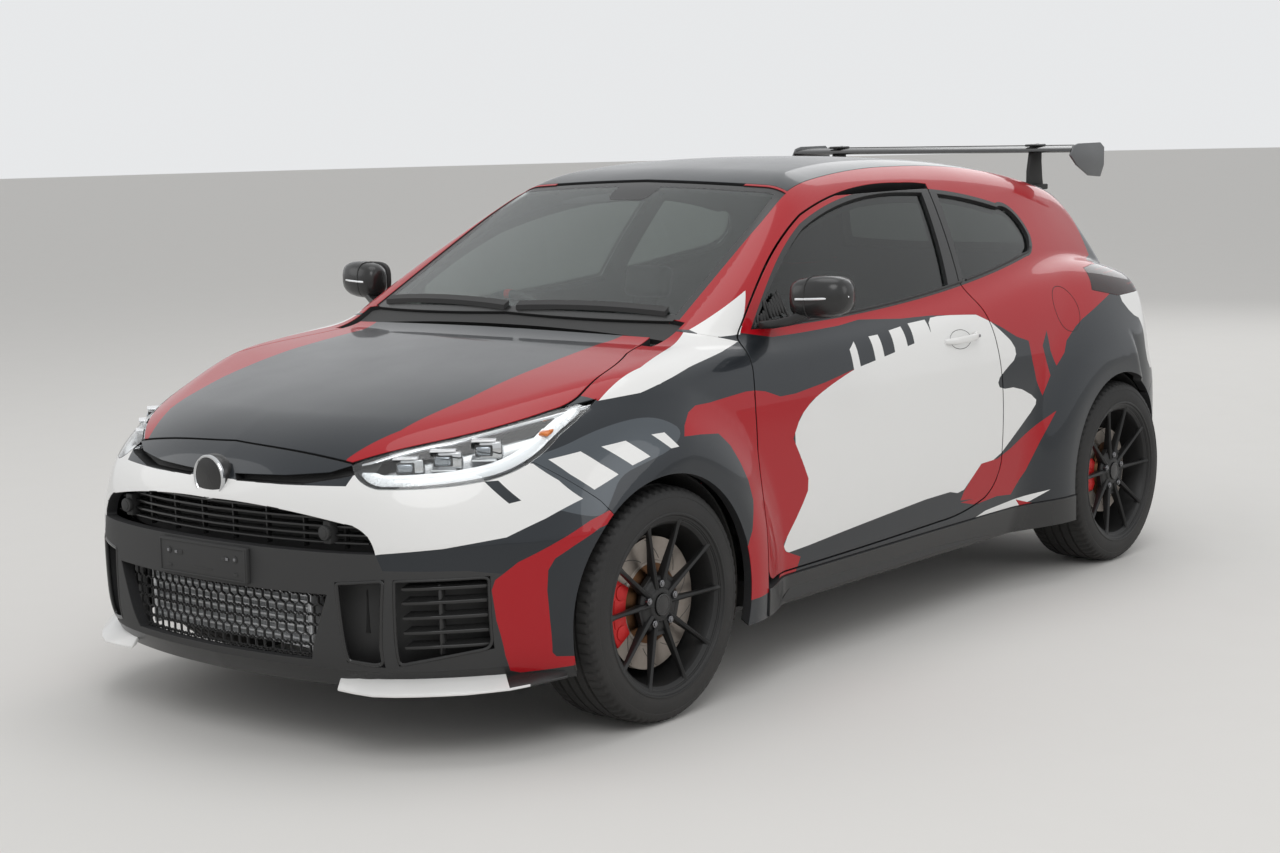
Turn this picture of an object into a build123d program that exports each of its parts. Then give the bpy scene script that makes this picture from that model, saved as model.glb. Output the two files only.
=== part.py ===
from build123d import *
import os
from math import atan2, cos, degrees, pi, radians, sin

import numpy as np

# Three-door rally hatchback, parked on its four wheels. Millimetres.
# Frame: the nose points to -Y, the car's left side is +X, +Z is up,
# and the origin lies on the ground below the middle of the car.

# Driving dimensions
front_axle_y, rear_axle_y = -1157.5, 1400.5
tyre_radius, tyre_width = 318.5, 225.0
wheel_z = tyre_radius
front_wheel_x, rear_wheel_x = 768.0, 782.5
rim_lip_radius, rim_lip_out = 246.0, 113.0
rim_wall = 9.0
arch_radius = 352.0
arch_inner_x, arch_outer_x = 485.0, 1100.0
panel_gap = 5.0
seat_gap = 0.3
skin = 36.0
roof_skin = 28.0
bonnet_skin = 26.0
door_thick = 95.0
frame_thick = 42.0
glass_thick = 6.0
cowl_thick, cowl_set = 18.0, 13.5
glass_set = 5.0
glass_sunk = 14.0
door_belt = 955.0
sill_low = 290.0
tailgate_front = 1446.0
cowl_half, cowl_rear = 630.0, -745.0
pin_radius = 6.0
hinge_eye = 20.0
shaft_play = 0.05
soft_gap = 0.5

# Curves of the body: pairs of (place along the curve, height or half width)
bonnet_line = [(-1980, 745), (-1858, 806), (-1700, 858), (-1500, 902), (-1300, 937), (-1100, 965),
               (-900, 988), (-738, 1001), (-640, 1000), (0, 1012), (443, 1035), (700, 1060),
               (993, 1090), (1300, 1095), (1600, 1060), (1850, 985), (1950, 940)]
waist_line = [(-1700, 820), (-1500, 838), (-1157, 848), (-700, 842), (0, 842), (700, 850),
              (1100, 862), (1400, 866), (1700, 850), (2000, 800)]
side_tuck = [(150, 42), (220, 22), (300, 8), (430, 0), (600, 0), (750, 4), (850, 16), (930, 40),
             (1000, 78), (1100, 150)]
nose_line = [(150, -1900), (200, -1940), (270, -1975), (350, -1986), (450, -1988), (550, -1984),
             (640, -1972), (700, -1948), (760, -1905), (812, -1850), (860, -1780)]
tail_line = [(150, 1850), (250, 1925), (350, 1978), (450, 1995), (560, 1997), (640, 1988),
             (720, 1962), (820, 1945), (920, 1922), (1000, 1890), (1060, 1850)]
nose_sweep = [(0, 0), (200, 12), (375, 42), (528, 98), (600, 150), (700, 250), (780, 355),
              (850, 480), (900, 600)]
glass_line = [(900, 782), (1000, 748), (1100, 706), (1200, 655), (1300, 596), (1380, 536), (1440, 470)]
glass_plan = [(-900, -55), (-600, -15), (0, 0), (600, 0), (1000, -12), (1400, -45), (1800, -110)]
screen_line = [(900, -1080), (1000, -880), (1100, -690), (1200, -500), (1300, -312), (1390, -140),
               (1450, -20)]
roof_line = [(-300, 1392), (-100, 1418), (100, 1440), (300, 1453), (500, 1455), (800, 1443),
             (1100, 1412), (1400, 1365), (1700, 1305)]
hatch_line = [(850, 1960), (950, 1905), (1050, 1842), (1150, 1775), (1250, 1705), (1350, 1630)]
# axle y, half width over the flare, reach of the flare from the axle
flares = [(front_axle_y, 892, 560), (rear_axle_y, 903, 640)]


def fair(pairs):
    """Natural cubic spline through the pairs, straight beyond its ends."""
    t, v = (np.array(column, float) for column in zip(*pairs))
    count = len(t)
    step = np.diff(t)
    a = np.eye(count)
    b = np.zeros(count)
    for i in range(1, count - 1):
        a[i, i - 1:i + 2] = step[i - 1], 2 * (step[i - 1] + step[i]), step[i]
        b[i] = 6 * ((v[i + 1] - v[i]) / step[i] - (v[i] - v[i - 1]) / step[i - 1])
    m = np.linalg.solve(a, b)
    first = (v[1] - v[0]) / step[0] - step[0] * m[1] / 6
    last = (v[-1] - v[-2]) / step[-1] + step[-1] * m[-2] / 6

    def at(q):
        q = np.asarray(q, float)
        i = np.clip(np.searchsorted(t, q) - 1, 0, count - 2)
        u, w, d = q - t[i], t[i + 1] - q, step[i]
        y = (m[i] * w**3 + m[i + 1] * u**3) / (6 * d)
        y = y + (v[i] / d - m[i] * d / 6) * w + (v[i + 1] / d - m[i + 1] * d / 6) * u
        y = np.where(q < t[0], v[0] + first * (q - t[0]), y)
        return np.where(q > t[-1], v[-1] + last * (q - t[-1]), y)
    return at


bonnet_z, waist_x, tuck_x, nose_y, tail_y, sweep_y = map(
    fair, (bonnet_line, waist_line, side_tuck, nose_line, tail_line, nose_sweep))
glass_x, glass_bow, screen_y, roof_z, hatch_y = map(
    fair, (glass_line, glass_plan, screen_line, roof_line, hatch_line))


def least(a, b, k):
    """The smaller of two depths, rounded over where they are within k."""
    h = np.clip(0.5 + 0.5 * (b - a) / k, 0, 1)
    return b + (a - b) * h - k * h * (1 - h)


def most(a, b, k):
    return -least(-a, -b, k)


def lower_body(x, y, z):
    """Depth below the skin of the car's lower body, with its flares."""
    ax = np.abs(x)
    side = waist_x(y) - tuck_x(z)
    for axle, peak, reach in flares:
        r = np.hypot(y - axle, z - wheel_z)
        fall = np.clip((r - arch_radius - 25) / (reach - arch_radius - 25), 0, 3)
        flare = peak - (peak - 838) * fall**2 * (1.6 - 0.6 * np.minimum(fall, 1))
        side = most(side, flare - 0.10 * np.maximum(z - wheel_z - 420, 0), 22)
    ahead = np.clip((-1150 - y) / 700, 0, 1.2)
    top = bonnet_z(y) - 22 * (ax / 700)**2 - 95 * ahead**2 * (ax / 650)**3 - z
    f = least(side - ax, top, 90)
    high = 1 + 0.35 * np.clip((z - 560) / 300, 0, 1)
    slope = (sweep_y(ax + 2) - sweep_y(ax - 2)) / 4 * high
    front = (y - nose_y(z) - sweep_y(ax) * high) / np.sqrt(1 + slope**2)
    u = np.clip(ax / 880, 0, 0.9999)
    rear = tail_y(z) - 420 * (1 - (1 - u**2.6)**(1 / 2.6)) - y
    return least(least(f, front, 70), rear, 60)


def cabin(x, y, z):
    """Depth below the glasshouse: screen, roof, hatch and side glass."""
    ax = np.abs(x)
    side = (glass_x(z) + glass_bow(y) - ax) * 0.9
    screen = (y - screen_y(z) - 95 * (ax / 650)**2) * 0.48
    roof = roof_z(y) - 24 * (ax / 560)**2 - z
    hatch = (hatch_y(z) - 60 * (ax / 600)**2 - y) * 0.83
    f = least(least(least(screen, roof, 40), hatch, 60), side, 70)
    return least(f, (z - 830) * 0.7, 30)


def body(x, y, z):
    return most(lower_body(x, y, z), cabin(x, y, z), 25)


# Ways of looking at the body: each gives start points inside it and rays outward
def from_tunnel(y, turn):
    """Rays out of a line along the car, turned up from the left side."""
    n = np.zeros_like(y)
    ray = np.stack([np.cos(turn), n, np.sin(turn)], -1)
    return np.stack([n + 200, y, n + 650], -1), ray


def from_below(x, y):
    n = np.zeros_like(x)
    return np.stack([x, y, n + 600], -1), np.stack([n, n, n + 1], -1)


def from_nose_post(turn, z):
    """Rays forward and round from an upright line behind the nose."""
    n = np.zeros_like(z)
    ray = np.stack([np.sin(turn), -np.cos(turn), n], -1)
    return np.stack([n, n + front_axle_y + 150, z], -1), ray


def from_tail_post(turn, z):
    n = np.zeros_like(z)
    ray = np.stack([np.sin(turn), np.cos(turn), n], -1)
    return np.stack([n, n + rear_axle_y - 150, z], -1), ray


def from_bench(x, turn):
    """Rays backward and up from a line across the rear seat."""
    n = np.zeros_like(x)
    ray = np.stack([n, np.cos(turn), np.sin(turn)], -1)
    return np.stack([x, n + 1000, n + 800], -1), ray


lamp_aim = np.array([0.42, -0.72, 0.55]) / np.linalg.norm([0.42, -0.72, 0.55])
lamp_centre = np.array([630.0, -1600.0, 775.0])
lamp_plane = Plane(origin=tuple(lamp_centre), x_dir=(0.72, 0.42, 0), z_dir=tuple(lamp_aim))


def from_lamp(u, v):
    across, up = (np.array(tuple(d)) for d in (lamp_plane.x_dir, lamp_plane.y_dir))
    start = lamp_centre - 260 * lamp_aim + u[..., None] * across + v[..., None] * up
    return start, np.broadcast_to(lamp_aim, start.shape)


def skin_points(way, us, vs, field=body, reach=1500.0):
    """Where the rays of a grid leave the body, and the rays."""
    u, v = np.meshgrid(us, vs, indexing="ij")
    start, ray = way(u, v)
    near, far = np.zeros(u.shape), np.full(u.shape, reach)
    for _ in range(40):
        middle = (near + far) / 2
        inside = field(*np.moveaxis(start + middle[..., None] * ray, -1, 0)) > 0
        near, far = np.where(inside, middle, near), np.where(inside, far, middle)
    return start + near[..., None] * ray, ray


def sheet(points):
    return Face.make_surface_from_array_of_points(
        [[Vector(*p) for p in row] for row in points.tolist()], tol=0.4)


def slab(way, us, vs, thick, set_in=0.0, field=body):
    """Solid wall whose outer face is the body's skin, `thick` along the rays."""
    points, ray = skin_points(way, us, vs, field)
    outer = sheet(points - set_in * ray)
    inner = sheet(points - (set_in + thick) * ray)
    edges = inner.edges()
    walls = []
    for edge in outer.edges():
        twin = min(edges, key=lambda e: ((e @ 0.5) - (edge @ 0.5)).length)
        walls.append(Face.make_surface_from_curves(edge, twin))
    return Solid(Shell([outer, inner, *walls]))


def span(low, high, count):
    return np.linspace(low, high, count)


# Outlines. A loop is corner, point on the way, corner, point on the way, and so on:
# each three in a row make an arc, or a straight line where they lie in line.
def loop(points, plane):
    edges = []
    count = len(points)
    for i in range(0, count, 2):
        a, m, b = (plane.from_local_coords(points[(i + k) % count]) for k in range(3))
        if (m - a).cross(b - m).length < 1e-3 * (b - a).length:
            edges.append(Edge.make_line(a, b))
        else:
            edges.append(Edge.make_three_point_arc(a, m, b))
    return Face(Wire(edges))


def corners(points):
    """A loop of straight sides from its corners alone."""
    out = []
    for i, p in enumerate(points):
        q = points[(i + 1) % len(points)]
        out += [p, ((p[0] + q[0]) / 2, (p[1] + q[1]) / 2)]
    return out


def mirrored(points):
    """Closes a half outline, given from the centre line round to it, over x = 0."""
    return points + [(-x, y) for x, y in reversed(points[1:-1])]


side_plane = Plane(origin=(0, 0, 0), x_dir=(0, 1, 0), z_dir=(1, 0, 0))
rear_plane = Plane(origin=(0, 0, 0), x_dir=(1, 0, 0), z_dir=(0, -1, 0))


def grown(points, by):
    """The same outline with every side moved outward."""
    count = len(points)
    twice = sum(points[i - 1][0] * points[i][1] - points[i][0] * points[i - 1][1] for i in range(count))
    outward = by if twice > 0 else -by
    out = []
    for i in range(count):
        p, q, r = (np.array(points[k % count], float) for k in (i - 1, i, i + 1))
        a, b = ((q - p) / np.linalg.norm(q - p)), ((r - q) / np.linalg.norm(r - q))
        n = np.array([a[1] + b[1], -a[0] - b[0]])
        out.append(tuple(q + outward * n / max(1 + a @ b, 0.4)))
    return out


def side_prism(points, by=0.0, near=240.0, far=1100.0):
    """Outline in (y, z) made solid across the car's left side."""
    face = loop(grown(points, by), side_plane)
    return extrude(face.moved(Location((near, 0, 0))), far - near, dir=(1, 0, 0))


def plan_prism(points, by=0.0, low=500.0, high=1600.0):
    face = loop(grown(points, by), Plane.XY)
    return extrude(face.moved(Location((0, 0, low))), high - low, dir=(0, 0, 1))


def cross_prism(points, low, high, by=0.0):
    """Outline in (x, z) made solid from y = low to y = high."""
    face = loop(grown(points, by), rear_plane)
    return extrude(face.moved(Location((0, low, 0))), high - low, dir=(0, 1, 0))


def lamp_prism(by=0.0):
    local = [lamp_plane.to_local_coords(Vector(*p)) for p in headlamp_edge]
    face = loop(grown([(p.X, p.Y) for p in local], by), Plane.XY)
    return lamp_plane.location * extrude(face.moved(Location((0, 0, -250))), 500, dir=(0, 0, 1))


def right_of(shape):
    return shape.mirror(Plane.YZ)


# Bonnet, from above: half outline from the nose round to the cowl
bonnet_edge = mirrored([(0, -1858), (210, -1856), (409, -1834), (570, -1660), (700, -1415), (718, -1366),
                        (722, -1320), (690, -1170), (618, -997), (592, -915), (577, -838), (300, -874),
                        (0, -885)])
# Windscreen, from above
screen_edge = mirrored([(0, -800), (330, -793), (606, -740), (588, -560), (560, -277), (545, -180),
                        (532, -104), (300, -121), (0, -121)])
# Roof, from above
roof_edge = mirrored([(0, -110), (300, -110), (528, -92), (505, 100), (482, 445), (476, 870),
                      (470, 1300), (466, 1380), (458, 1440), (250, 1452), (0, 1455)])
# Door with its window frame, from the side
door_edge = [(-707, 335), (-692, 312), (-670, 303), (-174, 306), (280, 315), (430, 326), (540, 350),
             (605, 395), (640, 456), (655, 600), (640, 834), (612, 960), (575, 1045), (610, 1190),
             (655, 1352), (560, 1360), (513, 1361), (200, 1353), (-127, 1292), (-400, 1160),
             (-647, 974), (-680, 870), (-694, 740), (-696, 610)]
# Daylight opening from the door mirror to the rear pillar, from the side
window_edge = [(-560, 1000), (-400, 1122), (-150, 1255), (160, 1322), (513, 1334), (790, 1310),
               (1040, 1262), (1146, 1225), (1170, 1160), (1146, 1125), (1090, 1106), (430, 1032)]
pillar_front, pillar_rear = [(500, 1020), (612, 1360)], [(598, 1020), (704, 1360)]
# Front wing, from the side: its edges to the bumper, the door and the screen pillar
wing_edge = corners([(-1640, 820), (-1525, 736), (-1407, 637), (-1340, 560), (-1300, 200),
                     (-712, 200), (-712, 335), (-701, 610), (-695, 822), (-650, 966), (-790, 1003),
                     (-840, 1080), (-1640, 1080)])
# Headlamp edge, points on the skin of the left front corner
headlamp_edge = [(413, -1839, 753), (494, -1748, 791), (576, -1651, 812), (640, -1545, 836),
                 (706, -1415, 858), (735, -1350, 870), (757, -1289, 878), (764, -1350, 850),
                 (757, -1440, 800), (740, -1570, 735), (688, -1666, 707), (610, -1764, 698),
                 (510, -1846, 699), (450, -1856, 720)]
# Tail lamp, tailgate and rear bumper
tail_lamp_edge = corners([(1290, 975), (1380, 1034), (1480, 1040), (2000, 1010), (2000, 935), (1500, 930)])
tailgate_edge = mirrored([(0, 560), (190, 560), (380, 560), (480, 645), (545, 745), (585, 830), (592, 930),
                          (592, 985), (590, 1040), (560, 1180), (515, 1290), (490, 1340), (462, 1500),
                          (230, 1500), (0, 1500)])
hatch_glass_edge = mirrored([(0, 1062), (250, 1064), (500, 1080), (478, 1170), (440, 1270), (220, 1292),
                             (0, 1295)])
rear_bumper_edge = corners([(1640, 150), (1640, 560), (1745, 640), (1830, 760), (1880, 900), (2100, 900),
                            (2100, 150)])
# Openings of the front bumper, from ahead
upper_intake = mirrored([(0, 545), (265, 545), (529, 543), (510, 585), (470, 612), (235, 645), (0, 652)])
lower_intake = mirrored(corners([(0, 262), (340, 262), (405, 437), (0, 437)])[:7])
side_duct = corners([(428, 470), (548, 480), (532, 252), (442, 264)])
side_vent = corners([(566, 478), (736, 478), (736, 292), (562, 256)])
intakes = (-2100.0, -1500.0)
# Number plate holder, and its two bolts into the bumper
nose_tip = -1997.5
plate_half, plate_low, plate_high = 170.0, 446.0, 538.0
plate_bolt_x, plate_bolt_z, plate_bolt_radius, plate_bolt_length = 120.0, 492.0, 3.5, 80.0


def along_x(x, y, z, radius, length):
    """Cylinder lying across the car, centred on the point."""
    return Pos(x, y, z) * Rot(0, 90, 0) * Cylinder(radius, length)


def along_y(x, y, z, radius, length):
    """Cylinder lying along the car, centred on the point."""
    return Pos(x, y, z) * Rot(90, 0, 0) * Cylinder(radius, length)


def plate_bolts():
    left = along_y(plate_bolt_x, nose_tip + 20, plate_bolt_z, plate_bolt_radius, plate_bolt_length)
    return left + right_of(left)


# Hinges. Doors: the pin line leans in towards its top; y, then x at two levels
door_hinge_y = -640.0
door_hinge_low, door_hinge_high = (838.0, 420.0), (815.0, 760.0)
hinge_levels = (door_hinge_low[1], door_hinge_high[1])
bonnet_hinge, bonnet_hinge_x = (-900.0, 928.0), 520.0
hatch_hinge = (1480.0, 1280.0)
hatch_lug_x, hatch_pin_end = 482.0, 534.0
flange_thick, flange_wide = 12.0, 32.0


def hinge_point(z):
    (x0, z0), (x1, z1) = door_hinge_low, door_hinge_high
    return Vector(x0 + (x1 - x0) * (z - z0) / (z1 - z0), door_hinge_y, z)


hinge_lean = Rot(0, degrees(atan2(door_hinge_high[0] - door_hinge_low[0],
                                  door_hinge_high[1] - door_hinge_low[1])), 0)


def door_sweep():
    """Room that the door's front edge turns in."""
    middle = hinge_point((hinge_levels[0] + hinge_levels[1]) / 2)
    return Pos(middle) * hinge_lean * Cylinder(78, 900)


def bonnet_sweep(half=598.0, radius=95.0):
    """Room that the bonnet's rear edge turns in."""
    return along_x(0, *bonnet_hinge, radius, 2 * half)


def tailgate_pin(radius, end):
    """Left hinge pin of the tailgate, or the bore around it."""
    return along_x((hatch_lug_x + end) / 2, *hatch_hinge, radius, end - hatch_lug_x)


def tailgate_sweep(half=hatch_lug_x + 13, radius=86.0):
    """Room that the tailgate's top edge and its lugs turn in."""
    return along_x(0, *hatch_hinge, radius, 2 * half)


def arch_cut():
    """Space of the four wheels, out of every wall around them."""
    cut = []
    middle = (arch_inner_x + arch_outer_x) / 2
    for y in (front_axle_y, rear_axle_y):
        for x in (middle, -middle):
            cut.append(along_x(x, y, wheel_z, arch_radius, arch_outer_x - arch_inner_x))
    return cut


arches = arch_cut()
left_arches = arches[0::2]
parts = {}


def keep(name, *shapes):
    """One node: its solids don't touch each other."""
    solids = [s for shape in shapes for s in shape.solids()]
    parts[name] = solids[0] if len(solids) == 1 else Compound(children=solids)


def pair(name, shape):
    keep(name + "_l", shape)
    keep(name + "_r", right_of(shape))


def biggest(shape, count=1):
    found = sorted(shape.solids(), key=lambda s: -s.volume)[:count]
    return found[0] if count == 1 else Compound(children=found)


def bonnet():
    wall = slab(from_below, span(-740, 740, 13), span(-1875, -820, 9), bonnet_skin)
    return biggest(wall & plan_prism(bonnet_edge))


def roof():
    wall = slab(from_below, span(-540, 540, 9), span(-130, 1470, 9), roof_skin)
    return biggest((wall & plan_prism(roof_edge)) - tailgate_sweep())


def front_wing():
    wall = slab(from_tunnel, span(-1660, -640, 12), span(radians(-36), radians(58), 11), skin)
    wall &= side_prism(wing_edge)
    wall -= plan_prism(bonnet_edge, panel_gap)
    wall -= lamp_prism(seat_gap)
    wall -= side_prism(door_edge, panel_gap)
    wall -= Pos(0, -700, 1000) * Box(2 * cowl_half + 2 * seat_gap, 400, 400)
    wall -= bonnet_sweep() + bonnet_sweep(606, 60)
    wall -= door_sweep()
    return biggest(wall - left_arches)


def front_bumper():
    wall = slab(from_nose_post, span(radians(-84), radians(84), 25), span(192, 800, 11), skin)
    wall -= side_prism(wing_edge, seat_gap, near=-1100)
    wall -= plan_prism(bonnet_edge, panel_gap)
    for hole in (upper_intake, lower_intake, side_duct, side_vent):
        cut = cross_prism(hole, *intakes)
        wall -= cut
        if hole in (side_duct, side_vent):
            wall -= right_of(cut)
    for cut in (lamp_prism(seat_gap), right_of(lamp_prism(seat_gap)), plate_bolts(), *arches):
        wall -= cut
    return biggest(wall)


def side_panel():
    """Screen pillar, roof rail, rear pillar, rear wing and sill in one pressing."""
    wall = slab(from_tunnel, span(-860, 1900, 27), span(radians(-34), radians(76), 15), skin)
    near_door = corners([(-1000, 100), (-1000, 1200), (-650, 1600), (2100, 1600), (2100, 100)])
    wall &= side_prism(near_door)
    wall -= side_prism(door_edge, panel_gap)
    wall -= quarter_opening()
    wall -= side_prism(wing_edge, seat_gap)
    wall -= side_prism(rear_bumper_edge, seat_gap)
    wall -= side_prism(tail_lamp_edge, seat_gap)
    wall -= plan_prism(bonnet_edge, panel_gap)
    wall -= plan_prism(screen_edge, seat_gap)
    wall -= Pos(0, cowl_rear + seat_gap - 150, 1000) * Box(2 * cowl_half + 2 * seat_gap, 300, 400)
    wall -= plan_prism(roof_edge, seat_gap)
    wall -= cross_prism(tailgate_edge, tailgate_front, 2100, panel_gap)
    wall -= Pos(500, 0, sill_low / 2) * Box(1400, 4100, sill_low)
    wall -= bonnet_sweep()
    wall -= tailgate_sweep() + tailgate_sweep(509, 60)
    wall -= tailgate_pin(pin_radius + shaft_play, hatch_pin_end + 2)
    return biggest(wall - left_arches)


def door():
    lower = slab(from_tunnel, span(-740, 690, 11), span(radians(-34), radians(31), 8), door_thick)
    upper = slab(from_tunnel, span(-740, 690, 11), span(radians(24), radians(62), 8), frame_thick)
    lower &= side_prism(door_edge)
    lower -= Pos(500, 0, door_belt + 300) * Box(1400, 4000, 600)
    upper &= side_prism(door_edge)
    upper -= Pos(500, 0, door_belt - 300) * Box(1400, 4000, 600)
    shape = (lower + upper) - door_opening()
    for z in hinge_levels:
        axis = hinge_point(z)
        pocket = Pos(axis.X - 192, axis.Y - 92.5, z) * Box(400, 215, hinge_eye + 12)
        shape -= pocket + Pos(axis) * Cylinder(pin_radius + 10, hinge_eye + 12)
        shape += Pos(axis) * hinge_lean * Cylinder(pin_radius, hinge_eye + 20)
    return biggest(shape)


def door_opening(by=0.0):
    ahead = corners([(-800, 700), (-800, 1600), (pillar_front[1][0] + 70, 1600), pillar_front[1],
                     pillar_front[0], (pillar_front[0][0] - 50, 700)])
    return side_prism(window_edge, by) & side_prism(ahead, by)


def quarter_opening(by=0.0):
    behind = corners([(1400, 700), (1400, 1600), (pillar_rear[1][0] + 70, 1600), pillar_rear[1],
                      pillar_rear[0], (pillar_rear[0][0] - 50, 700)])
    return side_prism(window_edge, by) & side_prism(behind, by)


def door_window():
    wall = slab(from_tunnel, span(-740, 700, 9), span(radians(20), radians(64), 7), glass_thick, glass_sunk)
    return biggest(wall & door_opening(-seat_gap))


def quarter_window():
    wall = slab(from_tunnel, span(420, 1230, 7), span(radians(24), radians(62), 7), glass_thick, glass_sunk)
    return biggest(wall & quarter_opening(-seat_gap))


def windscreen():
    wall = slab(from_below, span(-700, 700, 11), span(-900, -60, 9), glass_thick, glass_set)
    return biggest(wall & plan_prism(screen_edge))


def tailgate():
    """Outer wall, thinner along its edge so that it swings clear of the side panels."""
    across, up = span(-640, 640, 13), span(radians(-16), radians(54), 21)
    wall = slab(from_bench, across, up, skin)
    wall &= cross_prism(tailgate_edge, tailgate_front + panel_gap, 2100)
    wall -= cross_prism(hatch_glass_edge, 1500, 2100)
    flange = slab(from_bench, across, up, skin, flange_thick)
    wall -= flange - cross_prism(tailgate_edge, tailgate_front + flange_wide, 2100, -flange_wide)
    lug = Pos(hatch_lug_x, hatch_hinge[0], hatch_hinge[1] + 20) * Box(14, 30, 64)
    lug += tailgate_pin(pin_radius, hatch_pin_end)
    return biggest(wall + lug + right_of(lug))


def hatch_glass():
    wall = slab(from_bench, span(-640, 640, 9), span(radians(8), radians(50), 8), glass_thick, glass_set)
    return biggest(wall & cross_prism(hatch_glass_edge, 1500, 2100, -seat_gap))


def rear_bumper():
    wall = slab(from_tail_post, span(radians(-84), radians(84), 25), span(190, 900, 11), skin)
    wall &= side_prism(rear_bumper_edge, near=-1100)
    wall -= cross_prism(tailgate_edge, tailgate_front, 2100, panel_gap)
    for cut in (side_prism(tail_lamp_edge, seat_gap), *arches):
        wall -= cut
    wall -= right_of(side_prism(tail_lamp_edge, seat_gap))
    for side in (-1, 1):
        wall -= along_y(side * pipe_x, 1860, pipe_z, pipe_radius + 8, 400)
    return biggest(wall)


def tail_lamp():
    wall = slab(from_tail_post, span(radians(20), radians(84), 9), span(925, 1045, 5), skin)
    wall &= side_prism(tail_lamp_edge)
    return biggest(wall - cross_prism(tailgate_edge, tailgate_front, 2100, panel_gap))


def headlamp():
    wall = slab(from_lamp, span(-420, 420, 11), span(-170, 170, 7), 60)
    wall &= lamp_prism()
    return biggest(wall - plan_prism(bonnet_edge, panel_gap))


# Side skirts, below the sills
skirt_top, skirt_low, skirt_front, skirt_rear = sill_low - seat_gap, 205.0, -800.0, 1046.0
skirt_thick, skirt_proud = 60.0, 6.0


def side_skirt():
    along = span(skirt_front - 10, skirt_rear + 10, 9)
    wall = slab(from_tunnel, along, span(radians(-39), radians(-27), 5), skirt_thick, -skirt_proud)
    height, length = skirt_top - skirt_low, skirt_rear - skirt_front
    wall &= Pos(800, skirt_front + length / 2, skirt_low + height / 2) * Box(400, length, height)
    return biggest(wall - left_arches - side_prism(wing_edge, seat_gap))


# Front splitter blades, under the bumper's corners
splitter_z, splitter_thick = 181.7, 10.0
splitter_edge = corners([(300, -1935), (494, -1988), (650, -1880), (780, -1700), (800, -1560), (740, -1560),
                         (560, -1750), (300, -1880)])


def splitter():
    return extrude(Pos(0, 0, splitter_z) * loop(splitter_edge, Plane.XY), splitter_thick, dir=(0, 0, 1))


# Grilles: slats behind the openings of the bumper. opening, slats, low z, high z, half width, y
grille_rows = [(5, 558, 640, 520, -1890), (9, 275, 425, 392, -1928)]
grille_bar = 7.0
grille_depth = 12.0


def grille(count, low, high, half, y):
    """A frame of level slats joined by upright bars, bowed by its short chords."""
    bars = []
    for i in range(count):
        z = low + (high - low) * i / (count - 1)
        bars.append(Pos(0, y, z) * Box(2 * half - (high - z) * 0.3, grille_depth, grille_bar))
    for i in range(9):
        x = (i - 4) * half / 4.6
        bars.append(Pos(x, y, (low + high) / 2) * Box(grille_bar, grille_depth, high - low))
    return bars[0].fuse(*bars[1:])


# Wheels
spoke_pairs, spoke_spread, spoke_shift = 5, 17.0, 2.0
hub_radius, cap_radius, nut_circle, nut_radius = 78.0, 30.0, 57.15, 10.5
tyre_inner_radius, bead_radius = 232.0, 228.6
barrel_in = 108.0
bead_out = 95.5
stub_radius, stub_end, hub_face = 24.0, 70.0, 57.7
disc_radius, disc_thick, disc_x, rear_disc_radius = 178.0, 28.0, 32.0, 148.0
caliper_reach = 193.0


def ring(points):
    """Solid of revolution about the X axis; points are (x, radius)."""
    return revolve(Plane.XZ * make_face(Polyline(*[(x, r) for x, r in points], close=True)), Axis.X)


def tyre():
    half = tyre_width / 2
    side = [(bead_out, bead_radius + soft_gap), (bead_out + 1, 240), (half - 8, 250), (half, 270),
            (half, 287), (half - 9, 307), (half - 26, 316)]
    inside = [(half - 22, 296), (half - 16, 262), (bead_out - 14, bead_radius + soft_gap)]
    points = side + [(0, tyre_radius)] + [(-x, r) for x, r in reversed(side)]
    points += [(-x, r) for x, r in reversed(inside)] + inside
    return ring(points)


def rim():
    """Barrel with lips, ten spokes in five pairs, and a hub drilled for the stub."""
    out, wall = rim_lip_out, rim_wall
    barrel = ring([(-barrel_in, bead_radius + 14), (-barrel_in + 8, bead_radius + 14),
                   (-barrel_in + 12, bead_radius), (-70, bead_radius - 4), (-50, 208), (40, 208),
                   (70, bead_radius - 6), (out - 16, bead_radius), (out - 12, rim_lip_radius - 6),
                   (out, rim_lip_radius), (out, rim_lip_radius - 12), (out - 8, bead_radius - wall),
                   (66, bead_radius - wall - 6), (38, 208 - wall), (-52, 208 - wall),
                   (-72, bead_radius - 4 - wall), (-barrel_in, bead_radius - wall)])
    centre = along_x(hub_face + 12.3, 0, 0, hub_radius, 24)
    spoke = make_face(Polyline((58, 60), (80, 60), (88, 100), (104, 226), (86, 226), (70, 110), close=True))
    shapes = [barrel, centre]
    for i in range(spoke_pairs):
        for side in (-1, 1):
            blade = extrude(Plane.XZ * spoke, 8, both=True)
            turn = 360 / spoke_pairs * i + side * spoke_spread + 90
            shapes.append(Rot(turn, 0, 0) * Pos(0, side * spoke_shift, 0) * blade)
    wheel = shapes[0].fuse(*shapes[1:]) - along_x(0, 0, 0, cap_radius, 400)
    for i in range(spoke_pairs):
        turn = radians(360 / spoke_pairs * i + 90)
        wheel -= along_x(hub_face + 32, nut_circle * cos(turn), nut_circle * sin(turn), nut_radius, 40)
    return wheel


def disc(radius):
    """Brake disc with its bell, bored to turn on the stub."""
    bell = along_x(hub_face - 30, 0, 0, hub_radius - 2, 60)
    plate = along_x(disc_x, 0, 0, radius, disc_thick)
    nose = along_x(hub_face + 15, 0, 0, cap_radius - 0.1, 30)
    return (bell + plate + nose) - along_x(0, 0, 0, stub_radius + shaft_play, 400)


def stub(length_in):
    """Fixed shaft that the hub turns on, from inboard out to the wheel's face."""
    return along_x((stub_end - length_in) / 2, 0, 0, stub_radius, stub_end + length_in)


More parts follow.
